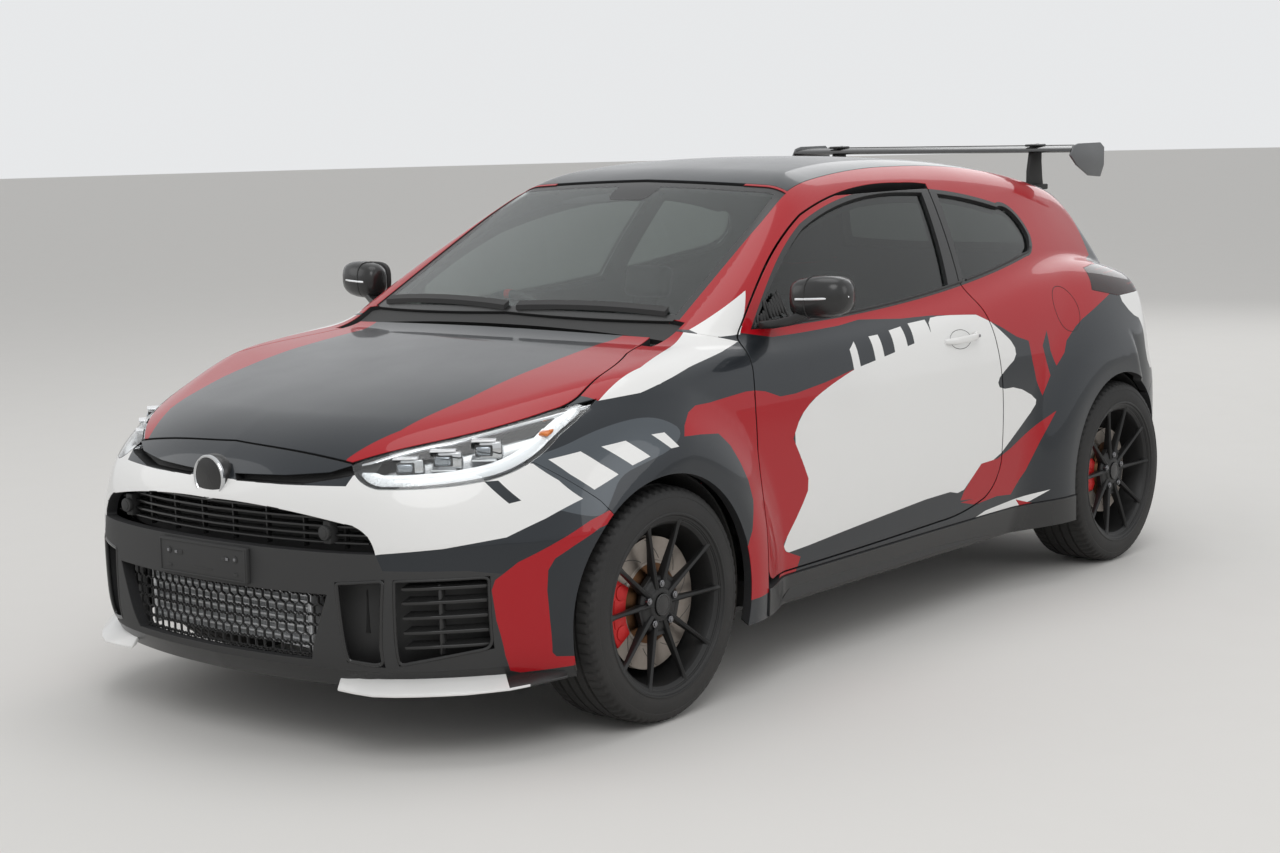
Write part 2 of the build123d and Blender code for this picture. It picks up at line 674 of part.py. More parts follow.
# Front corner. The kingpin stands upright, a little inboard of the wheel's centre
kingpin_in, ball_radius, ball_up = 14.0, 11.0, 112.0
upright_x = -86.0


def knuckle():
    plate = Pos(upright_x, 0, 0) * Box(30, 90, 2 * ball_up + 60) + Pos(upright_x, -90, 0) * Box(30, 100, 60)
    shapes = [stub(100), plate]
    for up in (-1, 1):
        z = up * (ball_up + 22)
        reach = -upright_x - kingpin_in
        shapes.append(Pos(upright_x + reach / 2, 0, z) * Box(reach, 44, 16))
        shapes.append(Pos(-kingpin_in, 0, z) * Cylinder(22, 16))
        shapes.append(Pos(-kingpin_in, 0, z + up * 14) * Cylinder(ball_radius, 28))
    shapes.append(Pos(upright_x, 70, -30) * Box(24, 80, 24))
    return shapes[0].fuse(*shapes[1:])


def caliper(radius, length, turn):
    """Block astride the disc, with its slot cut from the disc's own size."""
    block = Pos(disc_x, 0, radius - 24) * Box(58, length, 60)
    block &= along_x(0, 0, 0, caliper_reach, 400)
    slot = along_x(disc_x, 0, 0, radius + panel_gap, disc_thick + 2 * panel_gap)
    foot_in, foot_out = upright_x + 15, disc_x - 22
    foot = Pos((foot_in + foot_out) / 2, 0, radius - 56) * Box(foot_out - foot_in, 56, 30)
    return Rot(turn, 0, 0) * biggest((block + foot) - slot)


def at_front(shape):
    return Pos(front_wheel_x, front_axle_y, wheel_z) * shape


def at_rear(shape):
    return Pos(rear_wheel_x, rear_axle_y, wheel_z) * shape


def arm(inner, outer, z, radius=14):
    """Round link between two points of one level."""
    a, b = Vector(*inner, z), Vector(*outer, z)
    run = b - a
    return Plane(origin=a, z_dir=run) * Pos(0, 0, run.length / 2) * Cylinder(radius, run.length)


def front_links():
    """Lower and upper links of the left front wheel, each with the eye of its ball pin."""
    shapes = []
    for up in (-1, 1):
        z = wheel_z + up * (ball_up + 22 + 18)
        x = front_wheel_x - kingpin_in
        eye = Pos(x, front_axle_y, z) * Cylinder(24, 14)
        link = eye + arm((410, front_axle_y - 120), (x - 8, front_axle_y), z, 7)
        link += arm((410, front_axle_y + 120), (x - 8, front_axle_y), z, 7)
        shapes.append(link - Pos(x, front_axle_y, z) * Cylinder(ball_radius + shaft_play, 40))
    return shapes


# Under the floor
floor_z, floor_thick = 200.0, 14.0
rail_in, rail_x, rear_floor_z = 425.0, 445.0, 375.0
rear_floor_low = rear_floor_z - floor_thick / 2
post_out, post_in = door_hinge_low[0] - door_thick - 31, door_hinge_low[0] - door_thick - 79
beam_y = -1840.0
# Jacking pads under the sills
jack_x, jack_places, jack_drop = 720.0, (-550.0, 850.0), 8.0


def subframe():
    """Front cross members and rails, with the wheels' links."""
    shapes = [Pos(0, front_axle_y + s * 120, 178) * Box(2 * rail_in, 50, 60) for s in (-1, 1)]
    shapes += [Pos(s * (rail_in - 25), front_axle_y, 305) * Box(50, 300, 320) for s in (-1, 1)]
    for link in front_links():
        shapes += [link, right_of(link)]
    return shapes[0].fuse(*shapes[1:])


def rear_axle():
    """Cross member, two trailing links, springs and the stubs of the rear wheels."""
    half = rear_wheel_x + upright_x
    shapes = [Pos(0, rear_axle_y, 300) * Box(2 * half, 90, 60)]
    left = [at_rear(stub(100)), at_rear(Pos(upright_x, -20, 0) * Box(30, 150, 150)),
            Pos(half - 60, rear_axle_y - 190, 270) * Box(40, 380, 50),
            Pos(rail_x, rear_axle_y, (330 + rear_floor_low - seat_gap) / 2)
            * Cylinder(40, rear_floor_low - seat_gap - 330)]
    for shape in left:
        shapes += [shape, right_of(shape)]
    return shapes[0].fuse(*shapes[1:])


def underbody():
    """Floor pan, tunnel, bulkhead, rails, sills, hinge posts and bumper beam."""
    top = floor_z + floor_thick
    shapes = [Pos(0, 130, floor_z + floor_thick / 2) * Box(2 * 760, 1740, floor_thick),
              Pos(0, -1240, 260) * Box(2 * 360, 1000, floor_thick),
              Pos(0, 1400, rear_floor_z) * Box(2 * 470, 860, floor_thick),
              Pos(0, -730, 567) * Box(2 * 600, 20, 740),
              Pos(0, 990, 290) * Box(2 * 470, 20, 180),
              (Pos(0, 130, top + 50) * Box(260, 1700, 110)) - Pos(0, 130, top + 38) * Box(220, 1800, 110),
              Pos(0, beam_y, 385) * Box(2 * 465, 30, 110)]
    for s in (-1, 1):
        shapes.append(Pos(s * rail_x, (beam_y - 740) / 2, 385) * Box(40, -740 - beam_y, 110))
        shapes.append(Pos(s * rail_x, 1428, rear_floor_z + 55) * Box(40, 824, 110))
        shapes.append(Pos(s * (post_in + post_out) / 2, -662, 520) * Box(post_out - post_in, 130, 620))
        shapes.append(Pos(s * 770, 140, (top + skirt_top - 1) / 2) * Box(120, 1660, skirt_top - 1 - top))
        for y in jack_places:
            shapes.append(Pos(s * jack_x, y, floor_z - jack_drop / 2) * Box(60, 90, jack_drop))
        for z in hinge_levels:
            axis = hinge_point(z)
            arm_ = Pos((post_out + axis.X) / 2 - 2, axis.Y, z) * Box(axis.X - post_out - 4, 20, hinge_eye)
            eye = (arm_ + Pos(axis) * Cylinder(pin_radius + 6, hinge_eye))
            eye -= Pos(axis) * hinge_lean * Cylinder(pin_radius + shaft_play, 90)
            shapes.append(eye if s > 0 else right_of(eye))
        reach = -740 - bonnet_hinge[0]
        leg = Pos(s * bonnet_hinge_x, -740 - reach / 2 - 6, bonnet_hinge[1] - 60) * Box(16, reach + 12, 20)
        leg += Pos(s * bonnet_hinge_x, bonnet_hinge[0], bonnet_hinge[1] - 33) * Box(16, 20, 60)
        leg += along_x(s * bonnet_hinge_x, *bonnet_hinge, pin_radius + 5, 16)
        shapes.append(leg - along_x(s * bonnet_hinge_x, *bonnet_hinge, pin_radius + shaft_play, 90))
    shape = shapes[0].fuse(*shapes[1:])
    for skirt in parts["side_skirts"].solids():
        shape -= skirt
    return shape


def bonnet_lugs(shape):
    """Adds the two hinge lugs, each with its pin, under the rear of the bonnet."""
    for s in (-1, 1):
        lug = Pos(s * (bonnet_hinge_x + 22), bonnet_hinge[0], bonnet_hinge[1] + 12) * Box(16, 26, 46)
        shape += lug + along_x(s * (bonnet_hinge_x + 10), *bonnet_hinge, pin_radius, 40)
    return biggest(shape)


def cowl():
    """Tray between the bonnet's rear edge and the screen."""
    wall = slab(from_below, span(-640, 640, 9), span(-850, -730, 5), cowl_thick, cowl_set)
    wall &= Pos(0, cowl_rear - 50, 1000) * Box(2 * cowl_half, 100, 400)
    return biggest(wall - bonnet_sweep(cowl_half))


def seat(x):
    cushion = fillet((Pos(x, -60, 400) * Box(440, 480, 130)).edges(), 30)
    back = fillet((Pos(x, 255, 700) * Rot(-16, 0, 0) * Box(450, 110, 560)).edges(), 35)
    head = fillet((Pos(x, 345, 1030) * Rot(-16, 0, 0) * Box(230, 90, 150)).edges(), 30)
    base = floor_z + floor_thick + seat_gap
    foot = Pos(x, -40, (base + 345) / 2) * Box(300, 360, 345 - base)
    return cushion + back + head + foot


def bench():
    cushion = fillet((Pos(0, 765, 450) * Box(1100, 400, 150)).edges(), 35)
    back = fillet((Pos(0, 1035, 720) * Rot(-20, 0, 0) * Box(1080, 110, 480)).edges(), 35)
    base = floor_z + floor_thick + seat_gap
    foot = Pos(0, 770, (base + 385) / 2) * Box(1000, 340, 385 - base)
    tunnel = Pos(0, 770, base + 40) * Box(272, 500, 150)
    return (cushion + back + foot) - tunnel


steer_x = -370.0
column = Vector(0, 0.9, 0.42).normalized()
steering_centre = Vector(steer_x, -300, 880)
column_radius = 16.0


def on_column(shape):
    return Plane(origin=steering_centre, z_dir=column) * shape


def dashboard():
    """Dashboard across the bulkhead, with the shroud that the column turns in."""
    section = make_face(Polyline((-719.7, 560), (-719.7, 900), (-640, 935), (-470, 925), (-400, 880),
                                 (-420, 760), (-500, 700), (-540, 560), close=True))
    shape = extrude(Plane.YZ * section, 640, both=True)
    shape += on_column(Pos(0, 0, -95) * Cylinder(34, 130))
    return shape - on_column(Pos(0, 0, -120) * Cylinder(column_radius + shaft_play, 260))


def steering_wheel():
    boss = Cylinder(52, 40)
    spokes = [Rot(0, 0, turn) * Pos(95, 0, 0) * Box(165, 34, 14) for turn in (0, 180, 270)]
    shape = boss.fuse(*spokes) + Torus(178, 15)
    return on_column(shape + Pos(0, 0, -100) * Cylinder(column_radius, 180))


def mirror():
    """Door mirror, cut to sit on the door and its glass."""
    housing = fillet((Pos(918, -480, 1085) * Rot(0, 0, 8) * Box(172, 110, 120)).edges(), 34)
    shape = housing + Pos(850, -505, 1018) * Box(110, 60, 30) + Pos(800, -520, 1006) * Box(120, 90, 26)
    return biggest(shape - parts["door_l"] - parts["door_window_l"])


# Rear wing on two stems
blade_half = 610.0
wing_section = [(1560, 1440), (1600, 1452), (1700, 1454), (1800, 1440), (1800, 1432), (1700, 1438),
                (1600, 1436), (1560, 1432)]


def rear_wing():
    blade = extrude(Plane.YZ * make_face(Polyline(*wing_section, close=True)), blade_half, both=True)
    ends = [Pos(s * blade_half, 1690, 1400) * Box(10, 260, 130) for s in (-1, 1)]
    stems = [Pos(s * 430, 1620, 1370) * Box(16, 110, 160) for s in (-1, 1)]
    return biggest(blade.fuse(*ends, *stems) - parts["tailgate"])


pipe_x, pipe_z, pipe_radius = 560.0, 262.0, 52.0


def exhaust():
    hanger_top = rear_floor_low - seat_gap
    shapes = [along_y(0, 750, 162, 30, 1500), Pos(0, 1600, 230) * Box(700, 240, 130)]
    shapes += [Pos(s * 440, 1750, 250) * Box(200, 60, 60) for s in (-1, 1)]
    shapes += [Pos(s * 250, 1600, (290 + hanger_top) / 2) * Box(40, 40, hanger_top - 290) for s in (-1, 1)]
    shapes += [along_y(s * pipe_x, 1860, pipe_z, pipe_radius, 240) for s in (-1, 1)]
    shape = shapes[0].fuse(*shapes[1:])
    for s in (-1, 1):
        shape -= along_y(s * pipe_x, 1900, pipe_z, pipe_radius - 6, 200)
    return shape


def engine():
    """The closed engine and gearbox as one mass, on its mounts."""
    block = Pos(0, -1180, 590) * Box(640, 560, 460)
    return block + Pos(0, -1180, 400) * Box(2 * (rail_in - 50 - seat_gap), 80, 60)


wiper_height, wiper_gap, wiper_turn = 14.0, 0.8, 6.4


def wiper(side, length):
    """Arm and blade lying along the foot of the screen."""
    proud = wiper_height + wiper_gap - glass_set
    wall = slab(from_below, span(-640, 640, 9), span(-810, -690, 4), wiper_height, -proud)
    blade = Pos(side * 290, -751, 1000) * Rot(0, 0, side * wiper_turn) * Box(length, 22, 400)
    return biggest(wall & blade)


def plate_holder():
    """Blank number plate holder on the bumper, with two bolt holes."""
    height = plate_high - plate_low
    shape = Pos(0, nose_tip + 20, plate_low + height / 2) * Box(2 * plate_half, 40, height)
    return biggest(shape - parts["front_bumper"]) - plate_bolts()


def build():
    keep("bonnet", bonnet_lugs(bonnet()))
    keep("roof", roof())
    pair("front_wing", front_wing())
    keep("front_bumper", front_bumper())
    pair("side_panel", side_panel())
    pair("door", door())
    pair("door_window", door_window())
    glass = quarter_window()
    keep("fixed_glass", windscreen(), glass, right_of(glass))
    keep("tailgate", tailgate())
    keep("hatch_glass", hatch_glass())
    keep("rear_bumper", rear_bumper())
    lamp = headlamp()
    keep("headlamps", lamp, right_of(lamp))
    lamp = tail_lamp()
    keep("tail_lamps", lamp, right_of(lamp))
    skirt, blade = side_skirt(), splitter()
    keep("side_skirts", skirt, right_of(skirt))
    keep("splitters", blade, right_of(blade))
    keep("plate_holder", plate_holder())
    keep("grilles", *[biggest(grille(*row) - parts["front_bumper"]) for row in grille_rows])
    keep("intercooler", Pos(0, beam_y - 15 - 30 - seat_gap, 350) * Box(620, 60, 150))
    for name, place, radius in (("front", at_front, disc_radius), ("rear", at_rear, rear_disc_radius)):
        for kind, shape in (("tyre", tyre()), ("rim", rim()), ("disc", disc(radius))):
            pair(f"{kind}_{name}", place(shape))
    pair("knuckle", at_front(knuckle()))
    pair("caliper_front", at_front(caliper(disc_radius, 190, 90)))
    rear = at_rear(caliper(rear_disc_radius, 130, 90))
    keep("calipers_rear", rear, right_of(rear))
    keep("front_subframe", subframe())
    keep("rear_axle", rear_axle())
    keep("underbody", underbody())
    keep("cowl", cowl())
    keep("front_seats", seat(-370), seat(370))
    keep("rear_bench", bench())
    keep("dashboard", dashboard())
    keep("steering_wheel", steering_wheel())
    pair("mirror", mirror())
    keep("rear_wing", rear_wing())
    keep("exhaust", exhaust())
    keep("engine", engine())
    keep("wipers", wiper(-1, 560), wiper(1, 520))


build()
os.makedirs("parts", exist_ok=True)
for name, shape in parts.items():
    export_step(shape, f"parts/{name}.step")
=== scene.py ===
from math import atan2, cos, pi, radians, sin, sqrt

import bmesh
import bpy
import numpy as np
from bpy.props import FloatProperty, FloatVectorProperty, PointerProperty
from mathutils import Matrix, Vector
from mathutils.geometry import delaunay_2d_cdt


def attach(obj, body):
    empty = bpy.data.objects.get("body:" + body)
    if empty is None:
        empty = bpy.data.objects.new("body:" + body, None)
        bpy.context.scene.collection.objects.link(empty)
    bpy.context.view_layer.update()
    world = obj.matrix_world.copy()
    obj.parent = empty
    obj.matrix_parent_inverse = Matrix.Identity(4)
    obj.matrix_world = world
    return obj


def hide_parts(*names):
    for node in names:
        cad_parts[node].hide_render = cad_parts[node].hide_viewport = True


bl_info = {
    "name": "Rally Car",
    "version": (1, 0, 0),
    "blender": (4, 5, 0),
    "location": "View3D > Sidebar > Rally Car",
    "description": "Builds a three-door rally hatchback on a plain pale stage",
    "category": "Add Mesh",
}

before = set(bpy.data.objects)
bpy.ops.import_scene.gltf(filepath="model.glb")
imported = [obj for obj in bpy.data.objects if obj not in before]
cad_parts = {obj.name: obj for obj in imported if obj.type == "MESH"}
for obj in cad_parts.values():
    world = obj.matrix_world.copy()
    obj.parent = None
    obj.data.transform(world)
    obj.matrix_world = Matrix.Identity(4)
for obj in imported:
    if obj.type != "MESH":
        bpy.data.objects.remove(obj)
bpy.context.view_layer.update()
MM = 0.001

# The body's form in millimetres: pairs of place along a curve, and height or half width
front_axle_y, rear_axle_y, wheel_z = -1157.5, 1400.5, 318.5
arch_radius = 352.0
bonnet_line = [(-1980, 745), (-1858, 806), (-1700, 858), (-1500, 902), (-1300, 937), (-1100, 965),
               (-900, 988), (-738, 1001), (-640, 1000), (0, 1012), (443, 1035), (700, 1060),
               (993, 1090), (1300, 1095), (1600, 1060), (1850, 985), (1950, 940)]
waist_line = [(-1700, 820), (-1500, 838), (-1157, 848), (-700, 842), (0, 842), (700, 850),
              (1100, 862), (1400, 866), (1700, 850), (2000, 800)]
side_tuck = [(150, 42), (220, 22), (300, 8), (430, 0), (600, 0), (750, 4), (850, 16), (930, 40),
             (1000, 78), (1100, 150)]
nose_line = [(150, -1900), (200, -1940), (270, -1975), (350, -1986), (450, -1988), (550, -1984),
             (640, -1972), (700, -1948), (760, -1905), (812, -1850), (860, -1780)]
tail_line = [(150, 1850), (250, 1925), (350, 1978), (450, 1995), (560, 1997), (640, 1988),
             (720, 1962), (820, 1945), (920, 1922), (1000, 1890), (1060, 1850)]
nose_sweep = [(0, 0), (200, 12), (375, 42), (528, 98), (600, 150), (700, 250), (780, 355),
              (850, 480), (900, 600)]
glass_line = [(900, 782), (1000, 748), (1100, 706), (1200, 655), (1300, 596), (1380, 536), (1440, 470)]
glass_plan = [(-900, -55), (-600, -15), (0, 0), (600, 0), (1000, -12), (1400, -45), (1800, -110)]
screen_line = [(900, -1080), (1000, -880), (1100, -690), (1200, -500), (1300, -312), (1390, -140),
               (1450, -20)]
roof_line = [(-300, 1392), (-100, 1418), (100, 1440), (300, 1453), (500, 1455), (800, 1443),
             (1100, 1412), (1400, 1365), (1700, 1305)]
hatch_line = [(850, 1960), (950, 1905), (1050, 1842), (1150, 1775), (1250, 1705), (1350, 1630)]
flares = [(front_axle_y, 892, 560), (rear_axle_y, 903, 640)]


def fair(pairs):
    """Natural cubic spline through the pairs, straight beyond its ends."""
    t, v = (np.array(column, float) for column in zip(*pairs))
    count = len(t)
    step = np.diff(t)
    a = np.eye(count)
    b = np.zeros(count)
    for i in range(1, count - 1):
        a[i, i - 1:i + 2] = step[i - 1], 2 * (step[i - 1] + step[i]), step[i]
        b[i] = 6 * ((v[i + 1] - v[i]) / step[i] - (v[i] - v[i - 1]) / step[i - 1])
    m = np.linalg.solve(a, b)
    first = (v[1] - v[0]) / step[0] - step[0] * m[1] / 6
    last = (v[-1] - v[-2]) / step[-1] + step[-1] * m[-2] / 6

    def at(q):
        q = np.asarray(q, float)
        i = np.clip(np.searchsorted(t, q) - 1, 0, count - 2)
        u, w, d = q - t[i], t[i + 1] - q, step[i]
        y = (m[i] * w**3 + m[i + 1] * u**3) / (6 * d)
        y = y + (v[i] / d - m[i] * d / 6) * w + (v[i + 1] / d - m[i + 1] * d / 6) * u
        y = np.where(q < t[0], v[0] + first * (q - t[0]), y)
        return np.where(q > t[-1], v[-1] + last * (q - t[-1]), y)
    return at


bonnet_z, waist_x, tuck_x, nose_y, tail_y, sweep_y = map(
    fair, (bonnet_line, waist_line, side_tuck, nose_line, tail_line, nose_sweep))
glass_x, glass_bow, screen_y, roof_z, hatch_y = map(
    fair, (glass_line, glass_plan, screen_line, roof_line, hatch_line))


def least(a, b, k):
    """The smaller value, blended over k where the two meet."""
    h = np.clip(0.5 + 0.5 * (b - a) / k, 0, 1)
    return b + (a - b) * h - k * h * (1 - h)


def most(a, b, k):
    return -least(-a, -b, k)


def body_depth(x, y, z):
    """Depth below the car's skin, negative outside it."""
    ax = np.abs(x)
    side = waist_x(y) - tuck_x(z)
    for axle, peak, reach in flares:
        r = np.hypot(y - axle, z - wheel_z)
        fall = np.clip((r - arch_radius - 25) / (reach - arch_radius - 25), 0, 3)
        flare = peak - (peak - 838) * fall**2 * (1.6 - 0.6 * np.minimum(fall, 1))
        side = most(side, flare - 0.10 * np.maximum(z - wheel_z - 420, 0), 22)
    ahead = np.clip((-1150 - y) / 700, 0, 1.2)
    top = bonnet_z(y) - 22 * (ax / 700)**2 - 95 * ahead**2 * (ax / 650)**3 - z
    f = least(side - ax, top, 90)
    high = 1 + 0.35 * np.clip((z - 560) / 300, 0, 1)
    slope = (sweep_y(ax + 2) - sweep_y(ax - 2)) / 4 * high
    front = (y - nose_y(z) - sweep_y(ax) * high) / np.sqrt(1 + slope**2)
    u = np.clip(ax / 880, 0, 0.9999)
    rear = tail_y(z) - 420 * (1 - (1 - u**2.6)**(1 / 2.6)) - y
    lower = least(least(f, front, 70), rear, 60)
    side = (glass_x(z) + glass_bow(y) - ax) * 0.9
    screen = (y - screen_y(z) - 95 * (ax / 650)**2) * 0.48
    roof = roof_z(y) - 24 * (ax / 560)**2 - z
    hatch = (hatch_y(z) - 60 * (ax / 600)**2 - y) * 0.83
    f = least(least(least(screen, roof, 40), hatch, 60), side, 70)
    return most(lower, least(f, (z - 830) * 0.7, 30), 25)


def outward(p):
    """Unit normals of the skin near the points."""
    x, y, z = p.T
    e = 0.5
    n = -np.stack([body_depth(x + e, y, z) - body_depth(x - e, y, z),
                   body_depth(x, y + e, z) - body_depth(x, y - e, z),
                   body_depth(x, y, z + e) - body_depth(x, y, z - e)], -1)
    return n / np.maximum(np.linalg.norm(n, axis=1, keepdims=True), 1e-9)


# Ways of looking at the skin. Flat places u, v in millimetres give rays from inside the body
lamp_aim = np.array([0.42, -0.72, 0.55]) / np.linalg.norm([0.42, -0.72, 0.55])
lamp_across = np.array([0.72, 0.42, 0.0]) / np.linalg.norm([0.72, 0.42])
lamp_up = np.cross(lamp_aim, lamp_across)
lamp_centre = np.array([630.0, -1600.0, 775.0])
turn_scale = {"side": 600.0, "nose": 800.0, "tail": 700.0, "hatch": 900.0}
nose_post, tail_post = front_axle_y + 150, rear_axle_y - 150


def rays(way, u, v):
    """Starts and directions of the rays for flat places u, v."""
    n = np.zeros_like(u)
    if way == "side":
        t = v / turn_scale[way]
        return np.stack([n + 200, u, n + 650], -1), np.stack([np.cos(t), n, np.sin(t)], -1)
    if way == "top":
        return np.stack([u, v, n + 600], -1), np.stack([n, n, n + 1], -1)
    if way == "nose":
        t = u / turn_scale[way]
        return np.stack([n, n + nose_post, v], -1), np.stack([np.sin(t), -np.cos(t), n], -1)
    if way == "tail":
        t = u / turn_scale[way]
        return np.stack([n, n + tail_post, v], -1), np.stack([np.sin(t), np.cos(t), n], -1)
    if way == "hatch":
        t = v / turn_scale[way]
        return np.stack([u, n + 1000, n + 800], -1), np.stack([n, np.cos(t), np.sin(t)], -1)
    start = lamp_centre - 260 * lamp_aim + u[..., None] * lamp_across + v[..., None] * lamp_up
    return start, np.broadcast_to(lamp_aim, start.shape)


def flat(way, p):
    """The flat places of points on the skin."""
    x, y, z = p.T
    if way == "side":
        return np.stack([y, np.arctan2(z - 650, x - 200) * turn_scale[way]], -1)
    if way == "top":
        return p[:, :2]
    if way == "nose":
        return np.stack([np.arctan2(x, nose_post - y) * turn_scale[way], z], -1)
    if way == "tail":
        return np.stack([np.arctan2(x, y - tail_post) * turn_scale[way], z], -1)
    if way == "hatch":
        return np.stack([x, np.arctan2(z - 800, y - 1000) * turn_scale[way]], -1)
    d = p - lamp_centre
    return np.stack([d @ lamp_across, d @ lamp_up], -1)


def meet_skin(start, ray):
    """Where the rays from inside the body meet its skin."""
    near, far = np.zeros(len(start)), np.full(len(start), 1500.0)
    for _ in range(24):
        middle = (near + far) / 2
        inside = body_depth(*(start + middle[:, None] * ray).T) > 0
        near, far = np.where(inside, middle, near), np.where(inside, far, middle)
    return start + near[:, None] * ray


# Outlines, each seen in a plane: "side" (y, z), "top" (x, y), "front" or "rear" (x, z), "lamp"
def seen(plane, p):
    if plane == "side":
        return p[:, [1, 2]]
    if plane == "top":
        return p[:, :2]
    if plane == "lamp":
        return flat("lamp", p)
    return p[:, [0, 2]]


def aim(plane, q):
    """Start points and rays that carry an outline onto the skin."""
    a, b = q.T
    n = np.zeros_like(a)
    if plane == "side":
        return np.stack([n + 240, a, b], -1), np.stack([n + 1, n, n], -1)
    if plane == "top":
        return rays("top", a, b)
    if plane == "lamp":
        return rays("lamp", a, b)
    way = -1 if plane == "front" else 1
    return np.stack([a, n + 1000 * way, b], -1), np.stack([n, n + way, n], -1)


def corners(points):
    """A loop of straight sides from its corners alone."""
    out = []
    for i, p in enumerate(points):
        q = points[(i + 1) % len(points)]
        out += [p, ((p[0] + q[0]) / 2, (p[1] + q[1]) / 2)]
    return out


def mirrored(points):
    return points + [(-x, y) for x, y in reversed(points[1:-1])]


def grown(points, by):
    """The outline moved outward by a distance, or inward by a negative one."""
    count = len(points)
    twice = sum(points[i - 1][0] * points[i][1] - points[i][0] * points[i - 1][1] for i in range(count))
    out_by = by if twice > 0 else -by
    out = []
    for i in range(count):
        p, q, r = (np.array(points[k % count], float) for k in (i - 1, i, i + 1))
        a, b = ((q - p) / np.linalg.norm(q - p)), ((r - q) / np.linalg.norm(r - q))
        n = np.array([a[1] + b[1], -a[0] - b[0]])
        out.append(tuple(q + out_by * n / max(1 + a @ b, 0.4)))
    return out


def drawn(points, by=0.0, step=8.0):
    """Samples a loop of corner, point on the way, corner, and so on, along its arcs."""
    points = grown(points, by) if by else points
    out = []
    for i in range(0, len(points), 2):
        a, m, b = (np.array(points[(i + k) % len(points)], float) for k in range(3))
        count = max(2, int(np.linalg.norm(b - a) / step) + 1)
        t = np.arange(count) / count
        bulge = (m[0] - a[0]) * (b[1] - a[1]) - (m[1] - a[1]) * (b[0] - a[0])
        if abs(bulge) < 2e-3 * np.linalg.norm(b - a)**2:
            out += list(a + t[:, None] * (b - a))
            continue
        matrix = 2 * np.array([m - a, b - a])
        c = np.linalg.solve(matrix, [m @ m - a @ a, b @ b - a @ a])
        r = np.linalg.norm(a - c)
        angles = [atan2(p[1] - c[1], p[0] - c[0]) for p in (a, m, b)]
        first = (angles[1] - angles[0] + pi) % (2 * pi) - pi
        second = (angles[2] - angles[1] + pi) % (2 * pi) - pi
        turn = angles[0] + t * (first + second)
        out += list(c + r * np.stack([np.cos(turn), np.sin(turn)], -1))
    return np.array(out)


def within(poly, q):
    """Which of the points q lie inside the polygon."""
    inside = np.zeros(len(q), bool)
    x, y = q.T
    for (x0, y0), (x1, y1) in zip(poly, np.roll(poly, -1, axis=0)):
        cross = (y0 > y) != (y1 > y)
        inside ^= cross & (x < (x1 - x0) * (y - y0) / (y1 - y0 if y1 != y0 else 1) + x0)
    return inside


def ring_of(y, z, radius, count=96):
    t = np.arange(count) * 2 * pi / count
    return np.stack([y + radius * np.cos(t), z + radius * np.sin(t)], -1)


gap, seat = 5.0, 0.3
door_points = [(-707, 335), (-692, 312), (-670, 303), (-174, 306), (280, 315), (430, 326), (540, 350),
               (605, 395), (640, 456), (655, 600), (640, 834), (612, 960), (575, 1045), (610, 1190),
               (655, 1352), (560, 1360), (513, 1361), (200, 1353), (-127, 1292), (-400, 1160),
               (-647, 974), (-680, 870), (-694, 740), (-696, 610)]
window_points = [(-560, 1000), (-400, 1122), (-150, 1255), (160, 1322), (513, 1334), (790, 1310),
                 (1040, 1262), (1146, 1225), (1170, 1160), (1146, 1125), (1090, 1106), (430, 1032)]
bonnet_points = mirrored([(0, -1858), (210, -1856), (409, -1834), (570, -1660), (700, -1415), (718, -1366),
                          (722, -1320), (690, -1170), (618, -997), (592, -915), (577, -838), (300, -874),
                          (0, -885)])
screen_points = mirrored([(0, -800), (330, -793), (606, -740), (588, -560), (560, -277), (545, -180),
                          (532, -104), (300, -121), (0, -121)])
roof_points = mirrored([(0, -110), (300, -110), (528, -92), (505, 100), (482, 445), (476, 870),
                        (470, 1300), (466, 1380), (458, 1440), (250, 1452), (0, 1455)])
wing_points = corners([(-1640, 820), (-1525, 736), (-1407, 637), (-1340, 560), (-1300, 200),
                       (-712, 200), (-712, 335), (-701, 610), (-695, 822), (-650, 966), (-790, 1003),
                       (-840, 1080), (-1640, 1080)])
lamp_skin = [(413, -1839, 753), (494, -1748, 791), (576, -1651, 812), (640, -1545, 836),
             (706, -1415, 858), (735, -1350, 870), (757, -1289, 878), (764, -1350, 850),
             (757, -1440, 800), (740, -1570, 735), (688, -1666, 707), (610, -1764, 698),
             (510, -1846, 699), (450, -1856, 720)]
lamp_points = [tuple(q) for q in flat("lamp", np.array(lamp_skin, float))]
tail_lamp_points = corners([(1330, 962), (1384, 1034), (1480, 1040), (2000, 1010), (2000, 935), (1500, 930)])
tailgate_points = mirrored([(0, 560), (190, 560), (380, 560), (480, 645), (545, 745), (585, 830), (592, 930),
                            (592, 985), (590, 1040), (560, 1180), (515, 1290), (490, 1340), (462, 1500),
                            (230, 1500), (0, 1500)])
hatch_glass_points = mirrored([(0, 1062), (250, 1064), (500, 1080), (478, 1170), (440, 1270), (220, 1292),
                               (0, 1295)])
rear_bumper_points = corners([(1640, 150), (1640, 560), (1745, 640), (1830, 760), (1880, 900), (2100, 900),
                              (2100, 150)])
upper_intake = mirrored([(0, 545), (265, 545), (529, 543), (510, 585), (470, 612), (235, 645), (0, 652)])
lower_intake = mirrored(corners([(0, 262), (340, 262), (405, 437), (0, 437)])[:7])
side_duct = corners([(428, 470), (548, 480), (532, 252), (442, 264)])
side_vent = corners([(566, 478), (736, 478), (736, 292), (562, 256)])
ahead_of_post = corners([(-800, 700), (-800, 1600), (682, 1600), (612, 1360), (500, 1020), (450, 700)])
behind_post = corners([(1400, 700), (1400, 1600), (774, 1600), (704, 1360), (598, 1020), (548, 700)])
near_door = corners([(-1000, 100), (-1000, 1200), (-650, 1600), (2100, 1600), (2100, 100)])
